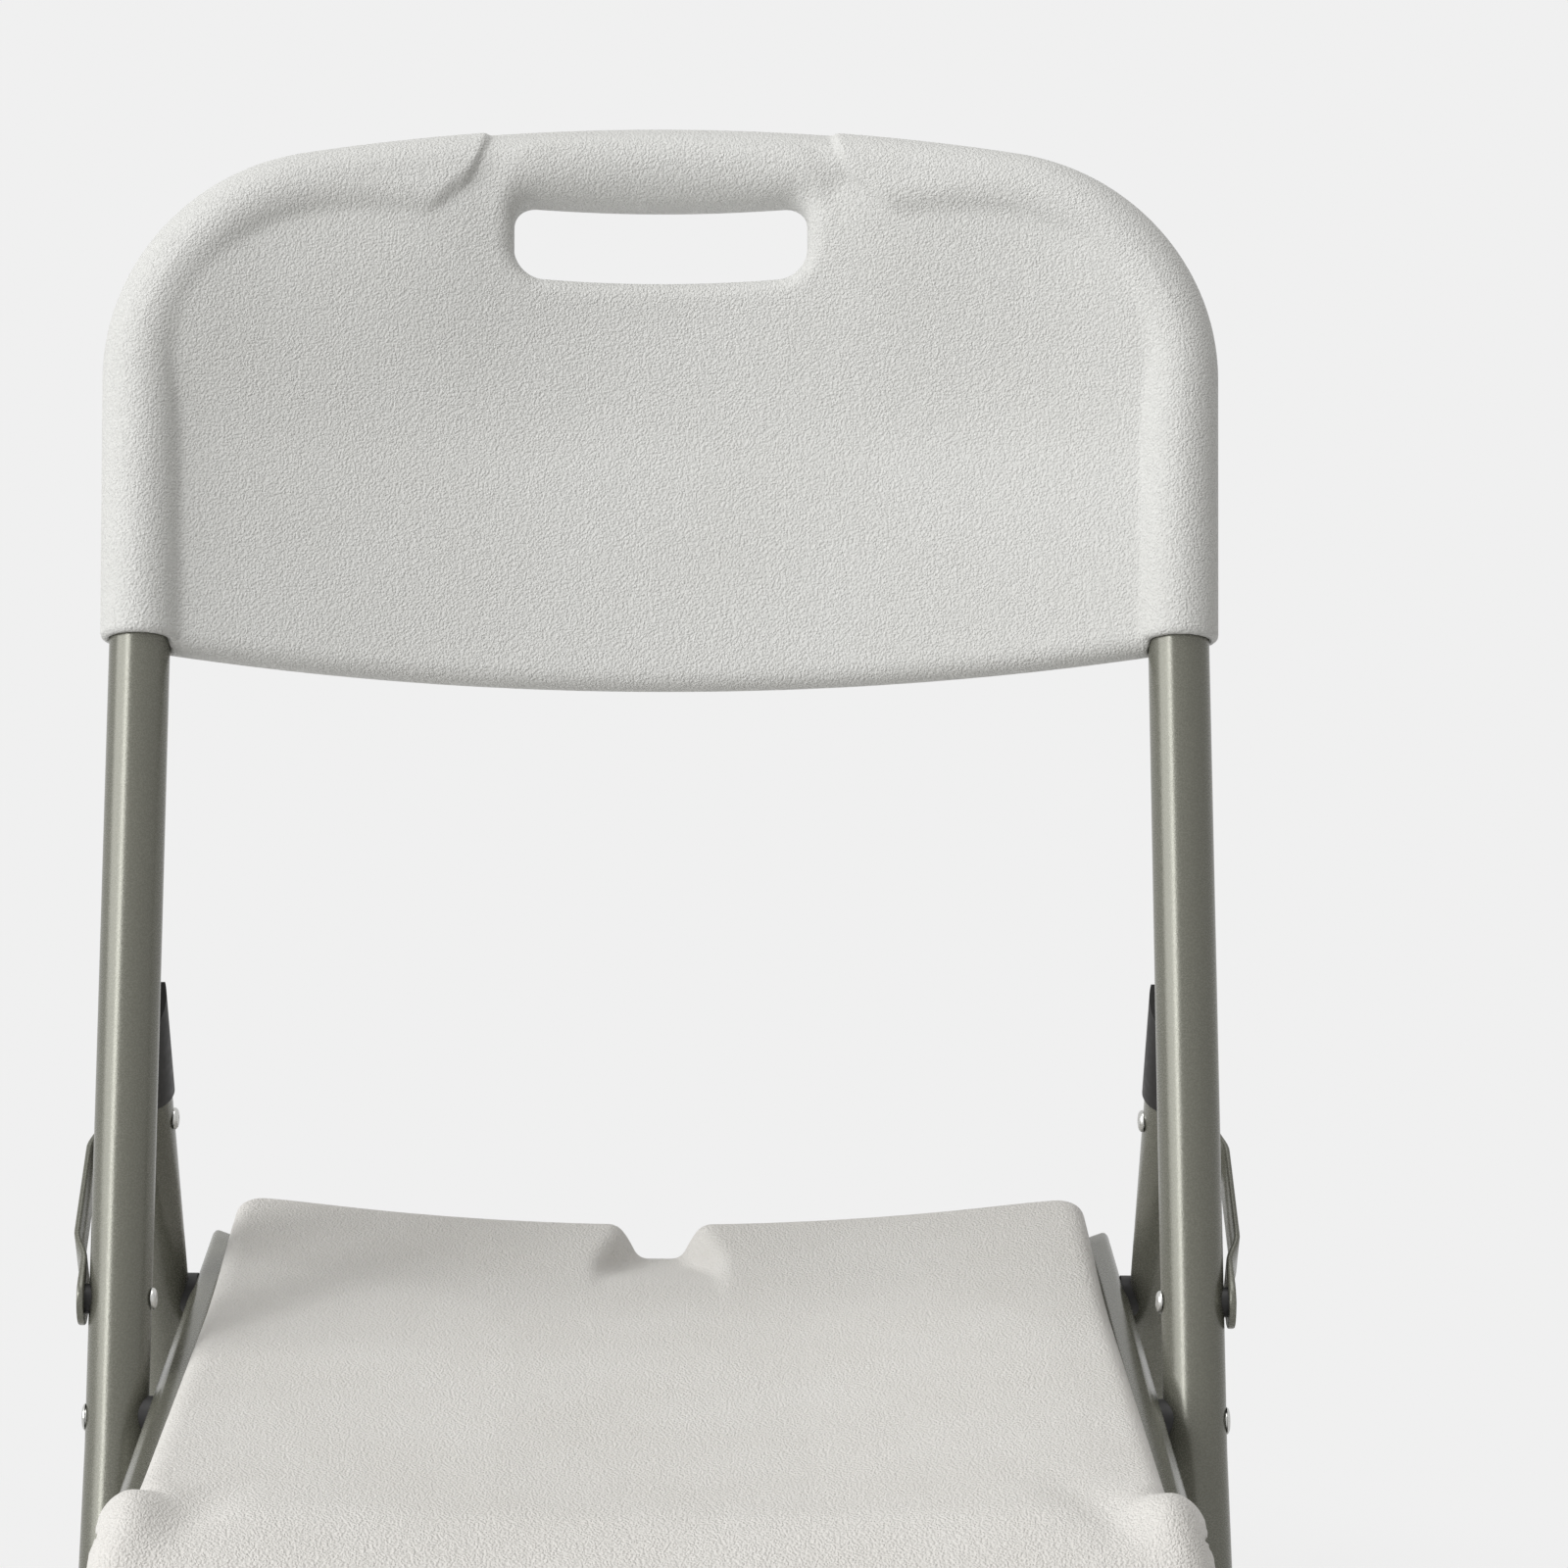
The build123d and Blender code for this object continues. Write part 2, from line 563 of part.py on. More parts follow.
# ===================================================================== rear frame
REAR_LENGTH_DOWN = REAR_LEG_PIVOT.Z / cos(radians(REAR_LEAN))
REAR_FLOOR = REAR_LEG_PIVOT - REAR_LEG_UP * REAR_LENGTH_DOWN + ACROSS
REAR_TUBE_TOP = LINK_REAR_PIVOT + REAR_LEG_UP * 34 + ACROSS
REAR_BRACE_DOWN = 245.0
rear_pivot_bore = cross_rod(REAR_LEG_PIVOT, PIVOT_RIVET_RADIUS, HALF_TRACK - 20, HALF_TRACK + 20)
link_rear_bore = cross_rod(LINK_REAR_PIVOT, LINK_RIVET_RADIUS, HALF_TRACK - 20, HALF_TRACK + 20)

with BuildPart() as rear_leg_right:
    add(
        rod(
            REAR_FLOOR + REAR_LEG_UP * FOOT_PAD,
            REAR_TUBE_TOP,
            TUBE_RADIUS,
            TUBE_RADIUS - TUBE_WALL,
        )
    )
    add(rear_pivot_bore, mode=Mode.SUBTRACT)
    add(link_rear_bore, mode=Mode.SUBTRACT)
pieces["rear_leg_right"] = rear_leg_right
pieces["rear_leg_left"] = left_of(rear_leg_right.part)

rear_brace_centre = REAR_LEG_PIVOT - REAR_LEG_UP * REAR_BRACE_DOWN
rear_legs_solid = both_sides(rod(REAR_FLOOR, REAR_TUBE_TOP, TUBE_RADIUS)).part
with BuildPart() as rear_cross_brace:
    add(
        rod(
            rear_brace_centre - ACROSS,
            rear_brace_centre + ACROSS,
            BRACE_RADIUS,
            BRACE_RADIUS - BRACE_WALL,
        )
    )
    add(rear_legs_solid, mode=Mode.SUBTRACT)
pieces["rear_cross_brace"] = rear_cross_brace

rear_foot_right = foot(REAR_FLOOR, REAR_LEG_UP)
pieces["rear_foot_right"] = rear_foot_right
pieces["rear_foot_left"] = left_of(rear_foot_right.part)

# The stop cap: a sleeve over the leg's top end whose nose lies flat on the back of
# the front leg when the chair is open.
CAP_RADIUS = 13.6
CAP_START = 15.0             # above the link pivot, along the rear leg
NOSE_END = 178.0             # top of the nose, along the front leg
with BuildPart() as rear_leg_cap_right:
    add(
        rod(
            LINK_REAR_PIVOT + ACROSS + REAR_LEG_UP * CAP_START,
            LINK_REAR_PIVOT + ACROSS + REAR_LEG_UP * 100,
            CAP_RADIUS,
        )
    )
    split(bisect_by=BACK_PLANE.offset(-(TUBE_RADIUS + GAP)), keep=Keep.BOTTOM)
    split(bisect_by=Plane(origin=BACK_PLANE.from_local_coords(Vector(0, NOSE_END, 0)),
                          z_dir=BACK_PLANE.y_dir), keep=Keep.BOTTOM)
    add(rod(REAR_FLOOR, REAR_TUBE_TOP, TUBE_RADIUS), mode=Mode.SUBTRACT)
pieces["rear_leg_cap_right"] = rear_leg_cap_right
pieces["rear_leg_cap_left"] = left_of(rear_leg_cap_right.part)

# ============================================================================ links
LINK_SHEET = 2.5
LINK_WIDTH = 21.0
LINK_END_X = 227.4           # inner face at both ends
LINK_STEP = 4.1              # the middle stands further out, past the seat rivet's head
link_vector = LINK_REAR_PIVOT - LINK_FRONT_PIVOT
LINK_LENGTH = link_vector.length
LINK_DIR = link_vector.normalized()
link_side = Plane(origin=LINK_FRONT_PIVOT + Vector(220, 0, 0), x_dir=LINK_DIR, z_dir=(1, 0, 0))
link_profile = Plane(
    origin=LINK_FRONT_PIVOT, x_dir=LINK_DIR, z_dir=LINK_DIR.cross(Vector(1, 0, 0))
)


def joggle(face):
    """One face of the strap: out from both ends to the middle."""
    return [
        (-12, face),
        (14, face),
        (27, face + LINK_STEP),
        (LINK_LENGTH - 27, face + LINK_STEP),
        (LINK_LENGTH - 14, face),
        (LINK_LENGTH + 12, face),
    ]


with BuildPart() as link_right:
    with BuildSketch(link_profile):
        Polygon(
            *joggle(LINK_END_X), *reversed(joggle(LINK_END_X + LINK_SHEET)), align=None
        )
    extrude(amount=15, both=True)
    with BuildSketch(link_side):
        with Locations((LINK_LENGTH / 2, 0)):
            SlotCenterToCenter(LINK_LENGTH, LINK_WIDTH)
    extrude(amount=20, mode=Mode.INTERSECT)
    add(
        cross_rod(LINK_FRONT_PIVOT, LINK_RIVET_RADIUS + RUNNING, 220, 240),
        mode=Mode.SUBTRACT,
    )
    add(cross_rod(LINK_REAR_PIVOT, LINK_RIVET_RADIUS, 220, 240), mode=Mode.SUBTRACT)
pieces["link_right"] = link_right
pieces["link_left"] = left_of(link_right.part)

# =========================================================================== rivets
TUBE_INNER_X = HALF_TRACK - TUBE_RADIUS
TUBE_OUTER_X = HALF_TRACK + TUBE_RADIUS
SLACK = 0.1                  # a turning piece is held loosely between its heads
LINK_OUTER_X = LINK_END_X + LINK_SHEET

seat_pivot_rivets = both_sides(
    rivet(SEAT_PIVOT, PIVOT_RIVET_RADIUS, RAIL_OUTER - SHEET - SLACK, TUBE_OUTER_X, 6.5, 2.2, 1.8)
)
pieces["seat_pivot_rivets"] = seat_pivot_rivets
rear_leg_rivets = both_sides(
    rivet(REAR_LEG_PIVOT, PIVOT_RIVET_RADIUS, RAIL_OUTER - SHEET - SLACK, TUBE_OUTER_X, 6.5, 2.2, 1.8)
)
pieces["rear_leg_rivets"] = rear_leg_rivets
link_front_rivets = both_sides(
    rivet(LINK_FRONT_PIVOT, LINK_RIVET_RADIUS, TUBE_INNER_X, LINK_OUTER_X + SLACK, 4.2, 1.5, 1.8)
)
pieces["link_front_rivets"] = link_front_rivets
link_rear_rivets = both_sides(
    rivet(LINK_REAR_PIVOT, LINK_RIVET_RADIUS, TUBE_INNER_X, TUBE_OUTER_X, 4.2, 1.5, 0.7)
)
pieces["link_rear_rivets"] = link_rear_rivets

# The outer head of each rear link rivet, carried by the link: this pivot is left open.
with BuildPart() as link_rear_head_right:
    add(cross_rod(LINK_REAR_PIVOT, LINK_RIVET_RADIUS, LINK_END_X, LINK_OUTER_X))
    add(cross_rod(LINK_REAR_PIVOT, 4.2, LINK_OUTER_X, LINK_OUTER_X + 1.6))
    chamfer(link_rear_head_right.faces().sort_by(Axis.X)[-1].edges(), 1.0)
pieces["link_rear_head_right"] = link_rear_head_right
pieces["link_rear_head_left"] = left_of(link_rear_head_right.part)


def spacer(pivot, leg, inner_x, outer_x, radius, bore):
    """A bush on a pivot between two X positions, hollowed to sit on the leg."""
    with BuildPart() as bush:
        add(cross_rod(pivot, radius, inner_x, outer_x))
        add(leg, mode=Mode.SUBTRACT)
        add(cross_rod(pivot, bore, inner_x - 5, outer_x + 5), mode=Mode.SUBTRACT)
    return both_sides(bush.part)


front_leg_near_pivot = rod(
    BACK_PLANE.from_local_coords(Vector(HALF_TRACK, -40, 0)),
    BACK_PLANE.from_local_coords(Vector(HALF_TRACK, 100, 0)),
    TUBE_RADIUS,
)
rear_leg_solid = rod(REAR_FLOOR, REAR_TUBE_TOP, TUBE_RADIUS)
pieces["seat_pivot_spacers"] = spacer(
    SEAT_PIVOT, front_leg_near_pivot, RAIL_OUTER + SLACK, HALF_TRACK, 8.5, PIVOT_RIVET_RADIUS
)
pieces["rear_leg_spacers"] = spacer(
    REAR_LEG_PIVOT, rear_leg_solid, RAIL_OUTER + SLACK, HALF_TRACK, 8.5, PIVOT_RIVET_RADIUS
)
pieces["link_washers"] = spacer(
    LINK_FRONT_PIVOT, front_leg_near_pivot, HALF_TRACK, LINK_END_X - SLACK, 6.0, LINK_RIVET_RADIUS
)

for piece_name, piece in pieces.items():
    piece.part.label = piece_name
    export_step(piece.part, f"parts/{piece_name}.step")
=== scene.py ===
"""Folding chair: moulded plastic seat and back on a painted steel tube frame.

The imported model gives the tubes, the bodies and the joints.  Here the two plastic
panels get their moulded shape, the rails, side links, feet and rivets are made in finer
detail, the braces get their welds, and every piece gets its finish.  The scene is in
metres, and the shapes are worked out in mm.  +Z is up and the sitter faces -Y.
"""
import json
import math

import bpy
import numpy as np
from mathutils import Matrix, Vector


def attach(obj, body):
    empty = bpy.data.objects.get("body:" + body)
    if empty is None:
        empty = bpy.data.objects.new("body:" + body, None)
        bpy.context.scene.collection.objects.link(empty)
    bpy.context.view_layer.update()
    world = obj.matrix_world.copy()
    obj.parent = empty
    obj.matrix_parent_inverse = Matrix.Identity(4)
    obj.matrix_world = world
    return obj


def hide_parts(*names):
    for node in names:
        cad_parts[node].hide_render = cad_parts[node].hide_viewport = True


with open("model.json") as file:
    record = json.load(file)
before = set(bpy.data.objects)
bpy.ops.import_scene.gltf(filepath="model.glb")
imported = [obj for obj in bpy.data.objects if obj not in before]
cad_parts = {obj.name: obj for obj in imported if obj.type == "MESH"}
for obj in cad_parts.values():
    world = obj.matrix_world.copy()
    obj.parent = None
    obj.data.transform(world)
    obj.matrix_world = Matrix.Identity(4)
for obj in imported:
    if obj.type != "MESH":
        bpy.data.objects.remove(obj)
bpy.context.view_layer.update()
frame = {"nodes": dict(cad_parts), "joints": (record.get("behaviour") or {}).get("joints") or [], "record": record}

# --------------------------------------------------------------------- back panel
# The back is one blow moulding in off-white polyethylene: a hollow panel, dished for
# the sitter's back, with a thick round rim that takes the front legs in two sleeves
# and a hand slot under the top.  It is pushed on to the legs and screwed from behind.
MM = 0.001
FRONT_LEAN = math.radians(27.0)
joint_at = {joint["name"]: Vector(joint["pos_m"]) for joint in frame["joints"]}
seat_pivot = joint_at["seat_fold"]


def plane_at(origin, tilt):
    """A frame of reference: X across, Y up a lean of the given tilt, Z to the front."""
    up = Vector((0, math.sin(tilt), math.cos(tilt)))
    across = Vector((1, 0, 0))
    out = across.cross(up)
    axes = Matrix((across, up, out)).transposed().to_4x4()
    axes.translation = origin
    return axes


back_plane = plane_at(seat_pivot, FRONT_LEAN)


def smooth_max(a, b, soft):
    """The larger of two depths, with the edge between them rounded."""
    share = np.clip(0.5 + 0.5 * (a - b) / soft, 0, 1)
    return b + (a - b) * share + soft * share * (1 - share)


def smooth_min(a, b, soft):
    """The smaller of two depths, with the corner between them filled."""
    return -smooth_max(-a, -b, soft)


def ease(t):
    """0 to 1 with no kink at either end."""
    t = np.clip(t, 0, 1)
    return t * t * (3 - 2 * t)


def skin_of(depth, lines):
    """Points and quads of the surface where depth() is 0, from a grid of lines in mm."""
    grid = np.meshgrid(*lines, indexing="ij")
    value = depth(*grid)
    solid = value < 0
    cells = np.array(value.shape) - 1
    total = np.zeros((int(cells.prod()), 3))
    count = np.zeros(int(cells.prod()))
    rings = []
    for axis in range(3):
        low = tuple(slice(0, -1) if k == axis else slice(None) for k in range(3))
        high = tuple(slice(1, None) if k == axis else slice(None) for k in range(3))
        crossed = solid[low] != solid[high]
        edge = np.argwhere(crossed)
        a, b = value[low][crossed], value[high][crossed]
        t = a / (a - b)
        spot = np.stack([g[low][crossed] * (1 - t) + g[high][crossed] * t for g in grid], 1)
        u, v = [k for k in range(3) if k != axis]
        around = []
        for step_u, step_v in ((0, 0), (1, 0), (1, 1), (0, 1)):
            cell = edge.copy()
            cell[:, u] -= step_u
            cell[:, v] -= step_v
            flat = np.ravel_multi_index(np.clip(cell, 0, cells - 1).T, cells)
            around.append(flat)
            count += np.bincount(flat, minlength=len(count))
            for k in range(3):
                total[:, k] += np.bincount(flat, weights=spot[:, k], minlength=len(count))
        ring = np.stack(around, 1)
        outward = solid[low][crossed]
        if axis == 1:
            outward = ~outward
        ring[outward] = ring[outward][:, ::-1]
        rings.append(ring)
    used = count > 0
    number = np.cumsum(used) - 1
    points = total[used] / count[used][:, None]
    # The points then slide on to the surface itself, in a few short moves.
    probe, longest_move = 0.05, 0.4
    for _ in range(4):
        here = depth(*points.T)
        slope = np.stack(
            [
                (depth(*(points + step).T) - depth(*(points - step).T)) / (2 * probe)
                for step in np.eye(3) * probe
            ],
            1,
        )
        move = slope * (here / np.maximum((slope**2).sum(1), 0.05))[:, None]
        points -= np.clip(move, -longest_move, longest_move)
    return points, number[np.concatenate(rings)].tolist()


def new_piece(name, points, faces, plane=None):
    """A mesh object from points in mm in a plane's own axes."""
    mesh = bpy.data.meshes.new(name)
    mesh.from_pydata(np.asarray(points) * MM, [], faces)
    if plane is not None:
        mesh.transform(plane)
    mesh.validate()
    mesh.shade_smooth()
    piece = bpy.data.objects.new(name, mesh)
    bpy.context.scene.collection.objects.link(piece)
    return piece


def marks(*runs):
    """Grid lines in mm: runs of (end, spacing) after a first position."""
    lines = [runs[0]]
    for end, spacing in runs[1:]:
        steps = max(1, round((end - lines[-1]) / spacing))
        lines.extend(np.linspace(lines[-1], end, steps + 1)[1:].tolist())
    return np.array(lines)


TUBE = 12.5
HALF_TRACK = 213.5
RIM = 16.2
RIM_HALF = 215.9
SLEEVE_END = 318.5
CORNER_START = 431.1
CORNER_RADIUS = 82.2
CORNER_TURN = math.radians(80.5)
# The rim's centre line: a straight side that leans out, a round corner and a flat arc.
rim_lean = math.atan2(RIM_HALF - HALF_TRACK, CORNER_START - SLEEVE_END)
corner_x = RIM_HALF - CORNER_RADIUS * math.cos(rim_lean)
corner_s = CORNER_START + CORNER_RADIUS * math.sin(rim_lean)
top_arc = (corner_x + CORNER_RADIUS * math.cos(CORNER_TURN)) / math.cos(CORNER_TURN)
top_arc_s = corner_s + CORNER_RADIUS * math.sin(CORNER_TURN) - top_arc * math.sin(CORNER_TURN)


def rim_distance(x, s):
    """How far outside the rim's centre line a point of the panel's plane is."""
    across = np.abs(x)
    side = (across - RIM_HALF) * math.cos(rim_lean) - (s - CORNER_START) * math.sin(rim_lean)
    over = np.hypot(x, s - top_arc_s) - top_arc
    corner = np.hypot(across - corner_x, s - corner_s) - CORNER_RADIUS
    turn = np.arctan2(s - corner_s, across - corner_x)
    in_corner = (turn > -rim_lean) & (turn < CORNER_TURN) & (across > corner_x)
    return np.where(in_corner, corner, np.maximum(side, over))


def block_distance(a, b, half_a, half_b, corner):
    """How far outside a rectangle with round corners a point is."""
    ea, eb = np.abs(a) - (half_a - corner), np.abs(b) - (half_b - corner)
    outside = np.hypot(np.maximum(ea, 0), np.maximum(eb, 0))
    return outside + np.minimum(np.maximum(ea, eb), 0) - corner


SLOT_HALF = 62.0
SLOT_HALF_HEIGHT = 16.2
SLOT_UP = 493.4
SLOT_SAG = 2.2
SLOT_TOP_CORNER = 9.5
SLOT_LOW_CORNER = 12.5


def slot_distance(x, s):
    """How far outside the hand slot a point of the panel's plane is."""
    above = s - SLOT_UP + SLOT_SAG * (1 - (x / SLOT_HALF) ** 2)
    corner = np.where(above > 0, SLOT_TOP_CORNER, SLOT_LOW_CORNER)
    return block_distance(x, above, SLOT_HALF, SLOT_HALF_HEIGHT, corner)


BOW = 16.0
BOW_HALF = 187.0
BOW_DROP = 0.33
HANDLE_HALF = 73.0
HANDLE_STEP = 2.5
BORE_END = 334.0
BORE_PLAY = 0.15


def back_panel_depth(x, s, w):
    """Depth of a point in the back panel's plastic: x across, s up, w to the front."""
    across = np.abs(x)
    # The upper half is bowed to the rear between the legs.
    bow = BOW * np.maximum(1 - (x / BOW_HALF) ** 2, 0) ** 1.5 * ease((s - 395.0) / 110.0)
    s = s - BOW_DROP * bow
    w = w + bow
    rim_out = rim_distance(x, s)
    # The rim stands proud of the panel, except at the handle, where it is stepped down
    # along a slanting curve and the panel runs up into it.
    step_at = HANDLE_HALF + 11.0 * ease((540.0 - s) / 36.0) ** 1.3
    step_at = step_at + 5.0 * ease((508.0 - s) / 12.0)
    handle = ease((step_at + 1.6 - across) / 3.2)
    rim_radius = RIM - HANDLE_STEP * handle * ease((w + 2.0) / 9.0)
    widened = 11.0 * ease((155.0 - across) / 75.0) ** 1.2 * ease((s - 470.0) / 25.0)
    widened = widened * ease((across - step_at + 1.0) / 13.0)
    past_rim = np.where(rim_out < 0, np.minimum(rim_out + widened, 0), rim_out)
    rim = np.hypot(past_rim, w) - rim_radius
    rim = smooth_max(rim, SLEEVE_END - s, 2.5)
    # Between the rim's sides the slab is dished, and it runs up to the rim at the top.
    to_top = ease((s - 400.0) / 108.0) * (12.0 + 17.0 * ease((190.0 - across) / 112.0))
    front = -21.5 + x * x / 1500.0 + to_top
    back = -36.0 + x * x / 1900.0 + 20.0 * ease((s - 415.0) / 95.0)
    low_edge = 304.0 + 11.0 * (x / HALF_TRACK) ** 2
    slab = smooth_max(w - front, back - w, 9.0)
    slab = smooth_max(slab, low_edge - s, 9.0)
    slab = np.maximum(slab, rim_out)
    body = smooth_min(rim, slab, 2.0 + 8.0 * ease((step_at - 3.0 - across) / 16.0))
    body = smooth_max(body, -slot_distance(x, s), 9.0)
    bore = np.maximum(np.hypot(across - HALF_TRACK, w) - (TUBE + BORE_PLAY), s - BORE_END)
    return np.maximum(body, -bore)


panel_lines = (
    marks(
        -235.0,
        (-192.0, 1.5), (-102.0, 2.2), (-54.0, 1.2), (54.0, 2.4), (102.0, 1.2), (192.0, 2.2), (235.0, 1.5),
    ),
    marks(294.0, (334.0, 1.4), (436.0, 2.6), (549.0, 1.2)),
    marks(-40.0, (19.0, 1.4)),
)
points, quads = skin_of(back_panel_depth, panel_lines)
back_panel = new_piece("back_panel_moulding", points, quads, back_plane)
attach(back_panel, "front_frame")
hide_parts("back_panel")


def new_material(name, colour, roughness):
    """A material with its shader and a node that gives positions in mm."""
    material = bpy.data.materials.new(name)
    material.use_nodes = True
    nodes, links = material.node_tree.nodes, material.node_tree.links
    shader = nodes["Principled BSDF"]
    shader.inputs["Base Color"].default_value = (*colour, 1)
    shader.inputs["Roughness"].default_value = roughness
    place = nodes.new("ShaderNodeTexCoord")
    in_mm = nodes.new("ShaderNodeVectorMath")
    in_mm.operation = "SCALE"
    in_mm.inputs["Scale"].default_value = 1 / MM
    links.new(place.outputs["Object"], in_mm.inputs[0])
    return material, nodes, links, shader, in_mm.outputs[0]


def noise(nodes, links, where, size, detail=2.0):
    """A noise pattern whose features are about size mm across."""
    pattern = nodes.new("ShaderNodeTexNoise")
    pattern.inputs["Scale"].default_value = 1 / size
    pattern.inputs["Detail"].default_value = detail
    links.new(where, pattern.inputs["Vector"])
    return pattern.outputs["Fac"]


def between(nodes, links, value, low, high, to_low, to_high):
    """A value moved from one range to another."""
    change = nodes.new("ShaderNodeMapRange")
    change.inputs["From Min"].default_value = low
    change.inputs["From Max"].default_value = high
    change.inputs["To Min"].default_value = to_low
    change.inputs["To Max"].default_value = to_high
    links.new(value, change.inputs["Value"])
    return change.outputs["Result"]


def mix_colour(nodes, links, share, first, second):
    """Two colours mixed by a pattern."""
    mix = nodes.new("ShaderNodeMix")
    mix.data_type = "RGBA"
    mix.inputs[6].default_value = (*first, 1)
    mix.inputs[7].default_value = (*second, 1)
    links.new(share, mix.inputs[0])
    return mix.outputs[2]


def add_bump(nodes, links, shader, height, distance, strength):
    """Relief of a height pattern, distance in mm."""
    bump = nodes.new("ShaderNodeBump")
    bump.inputs["Distance"].default_value = distance * MM
    bump.inputs["Strength"].default_value = strength
    links.new(height, bump.inputs["Height"])
    links.new(bump.outputs["Normal"], shader.inputs["Normal"])


GRAIN = 1.05
SWIRL = 2.5


def plastic_material(name, colour, shade):
    """Matt plastic with a pebbled leather grain and faint patches of a second shade."""
    plastic, nodes, links, shader, where = new_material(name, colour, 0.5)
    swirl = nodes.new("ShaderNodeTexNoise")
    swirl.inputs["Scale"].default_value = 1 / SWIRL
    bent = nodes.new("ShaderNodeVectorMath")
    bent.operation = "MULTIPLY_ADD"
    bent.inputs[1].default_value = (1.6, 1.6, 1.6)
    links.new(where, swirl.inputs["Vector"])
    links.new(swirl.outputs["Color"], bent.inputs[0])
    links.new(where, bent.inputs[2])
    grain = nodes.new("ShaderNodeTexVoronoi")
    grain.feature = "SMOOTH_F1"
    grain.inputs["Scale"].default_value = 1 / GRAIN
    grain.inputs["Smoothness"].default_value = 0.5
    links.new(bent.outputs[0], grain.inputs["Vector"])
    pebble = between(nodes, links, grain.outputs["Distance"], 0.1, 0.75, 1, 0)
    fine = noise(nodes, links, where, 0.7)
    height = nodes.new("ShaderNodeMath")
    height.operation = "MULTIPLY_ADD"
    height.inputs[1].default_value = 0.8
    links.new(fine, height.inputs[0])
    links.new(pebble, height.inputs[2])
    add_bump(nodes, links, shader, height.outputs[0], 0.6, 0.7)
    cloud = noise(nodes, links, where, 60.0, 3.0)
    patches = between(nodes, links, cloud, 0.35, 0.65, 0, 1)
    links.new(mix_colour(nodes, links, patches, shade, colour), shader.inputs["Base Color"])
    links.new(between(nodes, links, pebble, 0.0, 1.0, 0.6, 0.46), shader.inputs["Roughness"])
    shader.inputs["IOR"].default_value = 1.48
    return plastic


back_plastic = plastic_material("back_plastic", (0.586, 0.589, 0.575), (0.572, 0.574, 0.558))
back_panel.data.materials.append(back_plastic)

# --------------------------------------------------------------------- seat panel
# The seat is a second moulding of the same plastic: dished across, raised at its rear
# corners, dipped in the middle of its rear edge, and spread over the rails in front.
SEAT_SLOPE = math.radians(3.0)
seat_plane = plane_at(seat_pivot, math.pi / 2 + SEAT_SLOPE)
SEAT_HALF = 184.5
FLARE_HALF = 203.0
SEAT_REAR = 206.0
SEAT_FRONT = -208.0
FLARE_REAR = -149.0
SEAT_CORNER = 14.0
FLARE_CORNER = 15.0
OVERHANG = 4.5
DIMPLE_PITCH = 70.0
DIMPLE_RADIUS = 11.0


def seat_depth(x, r, h):
    """Depth of a point in the seat's plastic: x across, r to the rear, h up."""
    across = np.abs(x)
    middle = (SEAT_REAR + SEAT_FRONT) / 2
    half = (SEAT_REAR - SEAT_FRONT) / 2
    overhang = OVERHANG * np.clip((190.0 - r) / 340.0, 0, 1) * ease((h - 10.0) / 6.0)
    plan = block_distance(x, r - middle, SEAT_HALF + overhang, half, SEAT_CORNER)
    flare_middle = (SEAT_FRONT + FLARE_REAR) / 2
    flare_half = (FLARE_REAR - SEAT_FRONT) / 2
    lobes = block_distance(x, r - flare_middle, FLARE_HALF, flare_half, FLARE_CORNER)
    plan = smooth_min(plan, lobes, 3.0)
    # The sitting surface: dished across, lifted at the rear, rolled down in front.
    lift = np.clip(r - 95.0, 0, 63.0) ** 2 / 1800.0 + np.maximum(r - 158.0, 0) * 0.07
    rear = ease((r - 60.0) / 130.0)
    top = 16.5 + 0.9 * rear + x * x / (3000.0 - 550.0 * rear) + lift
    side_top = 24.0 + lift + 7.0 * rear
    top = smooth_min(top, side_top, 5.0)
    top = top - 13.0 * ease((-152.0 - r) / 60.0) ** 1.3
    # A low bulge at each front corner, with a slight valley beside it.
    bulge = np.exp(-(((across - 188.0) / 15.0) ** 2) - ((r + 178.0) / 22.0) ** 2)
    valley_at = across - 168.0 + 0.5 * (r + 175.0)
    valley = np.exp(-((valley_at / 11.0) ** 2) - ((r + 172.0) / 26.0) ** 2)
    top = top + 6.5 * bulge - 2.2 * valley
    # The dip in the rear edge fades out towards the middle of the seat.
    dip_half = 9.0 + 11.0 * ease((207.0 - r) / 58.0)
    dip_floor = 6.0 + 14.5 * ease((208.0 - r) / 108.0)
    dip = smooth_max(dip_floor - h, (across - dip_half) * 0.9 - (h - 6.0) * 0.43, 4.0)
    dip = np.maximum(dip, 95.0 - r)
    body = smooth_max(h - top, plan, 10.0 + 11.0 * ease((-140.0 - r) / 26.0))
    body = smooth_max(body, -h, 5.0)
    body = smooth_max(body, -dip, 5.0)
    # The mould's parting line runs round the edge, and the rails' tops sit in pockets.
    seam = np.hypot(plan - 0.1, (h - 9.0) * 1.6) - 0.9
    body = smooth_min(body, seam, 0.8)
    pocket = block_distance(across - 197.0, h - 4.0, 12.5, 10.5, 2.0)
    body = np.maximum(body, -np.maximum(pocket, np.abs(r + 140.0) - 41.0))
    # Round dimples under the seat tie its lower skin to the upper one.
    u = (x + DIMPLE_PITCH / 2) % DIMPLE_PITCH - DIMPLE_PITCH / 2
    v = (r + DIMPLE_PITCH / 2) % DIMPLE_PITCH - DIMPLE_PITCH / 2
    dimple = (np.hypot(u, v) - (DIMPLE_RADIUS - 0.75 * h)) * 0.8
    field = np.maximum(across - 150.0, np.abs(r) - 185.0)
    dimple = np.maximum(dimple, np.maximum(h - 9.0, field))
    return smooth_max(body, -dimple, 2.0)


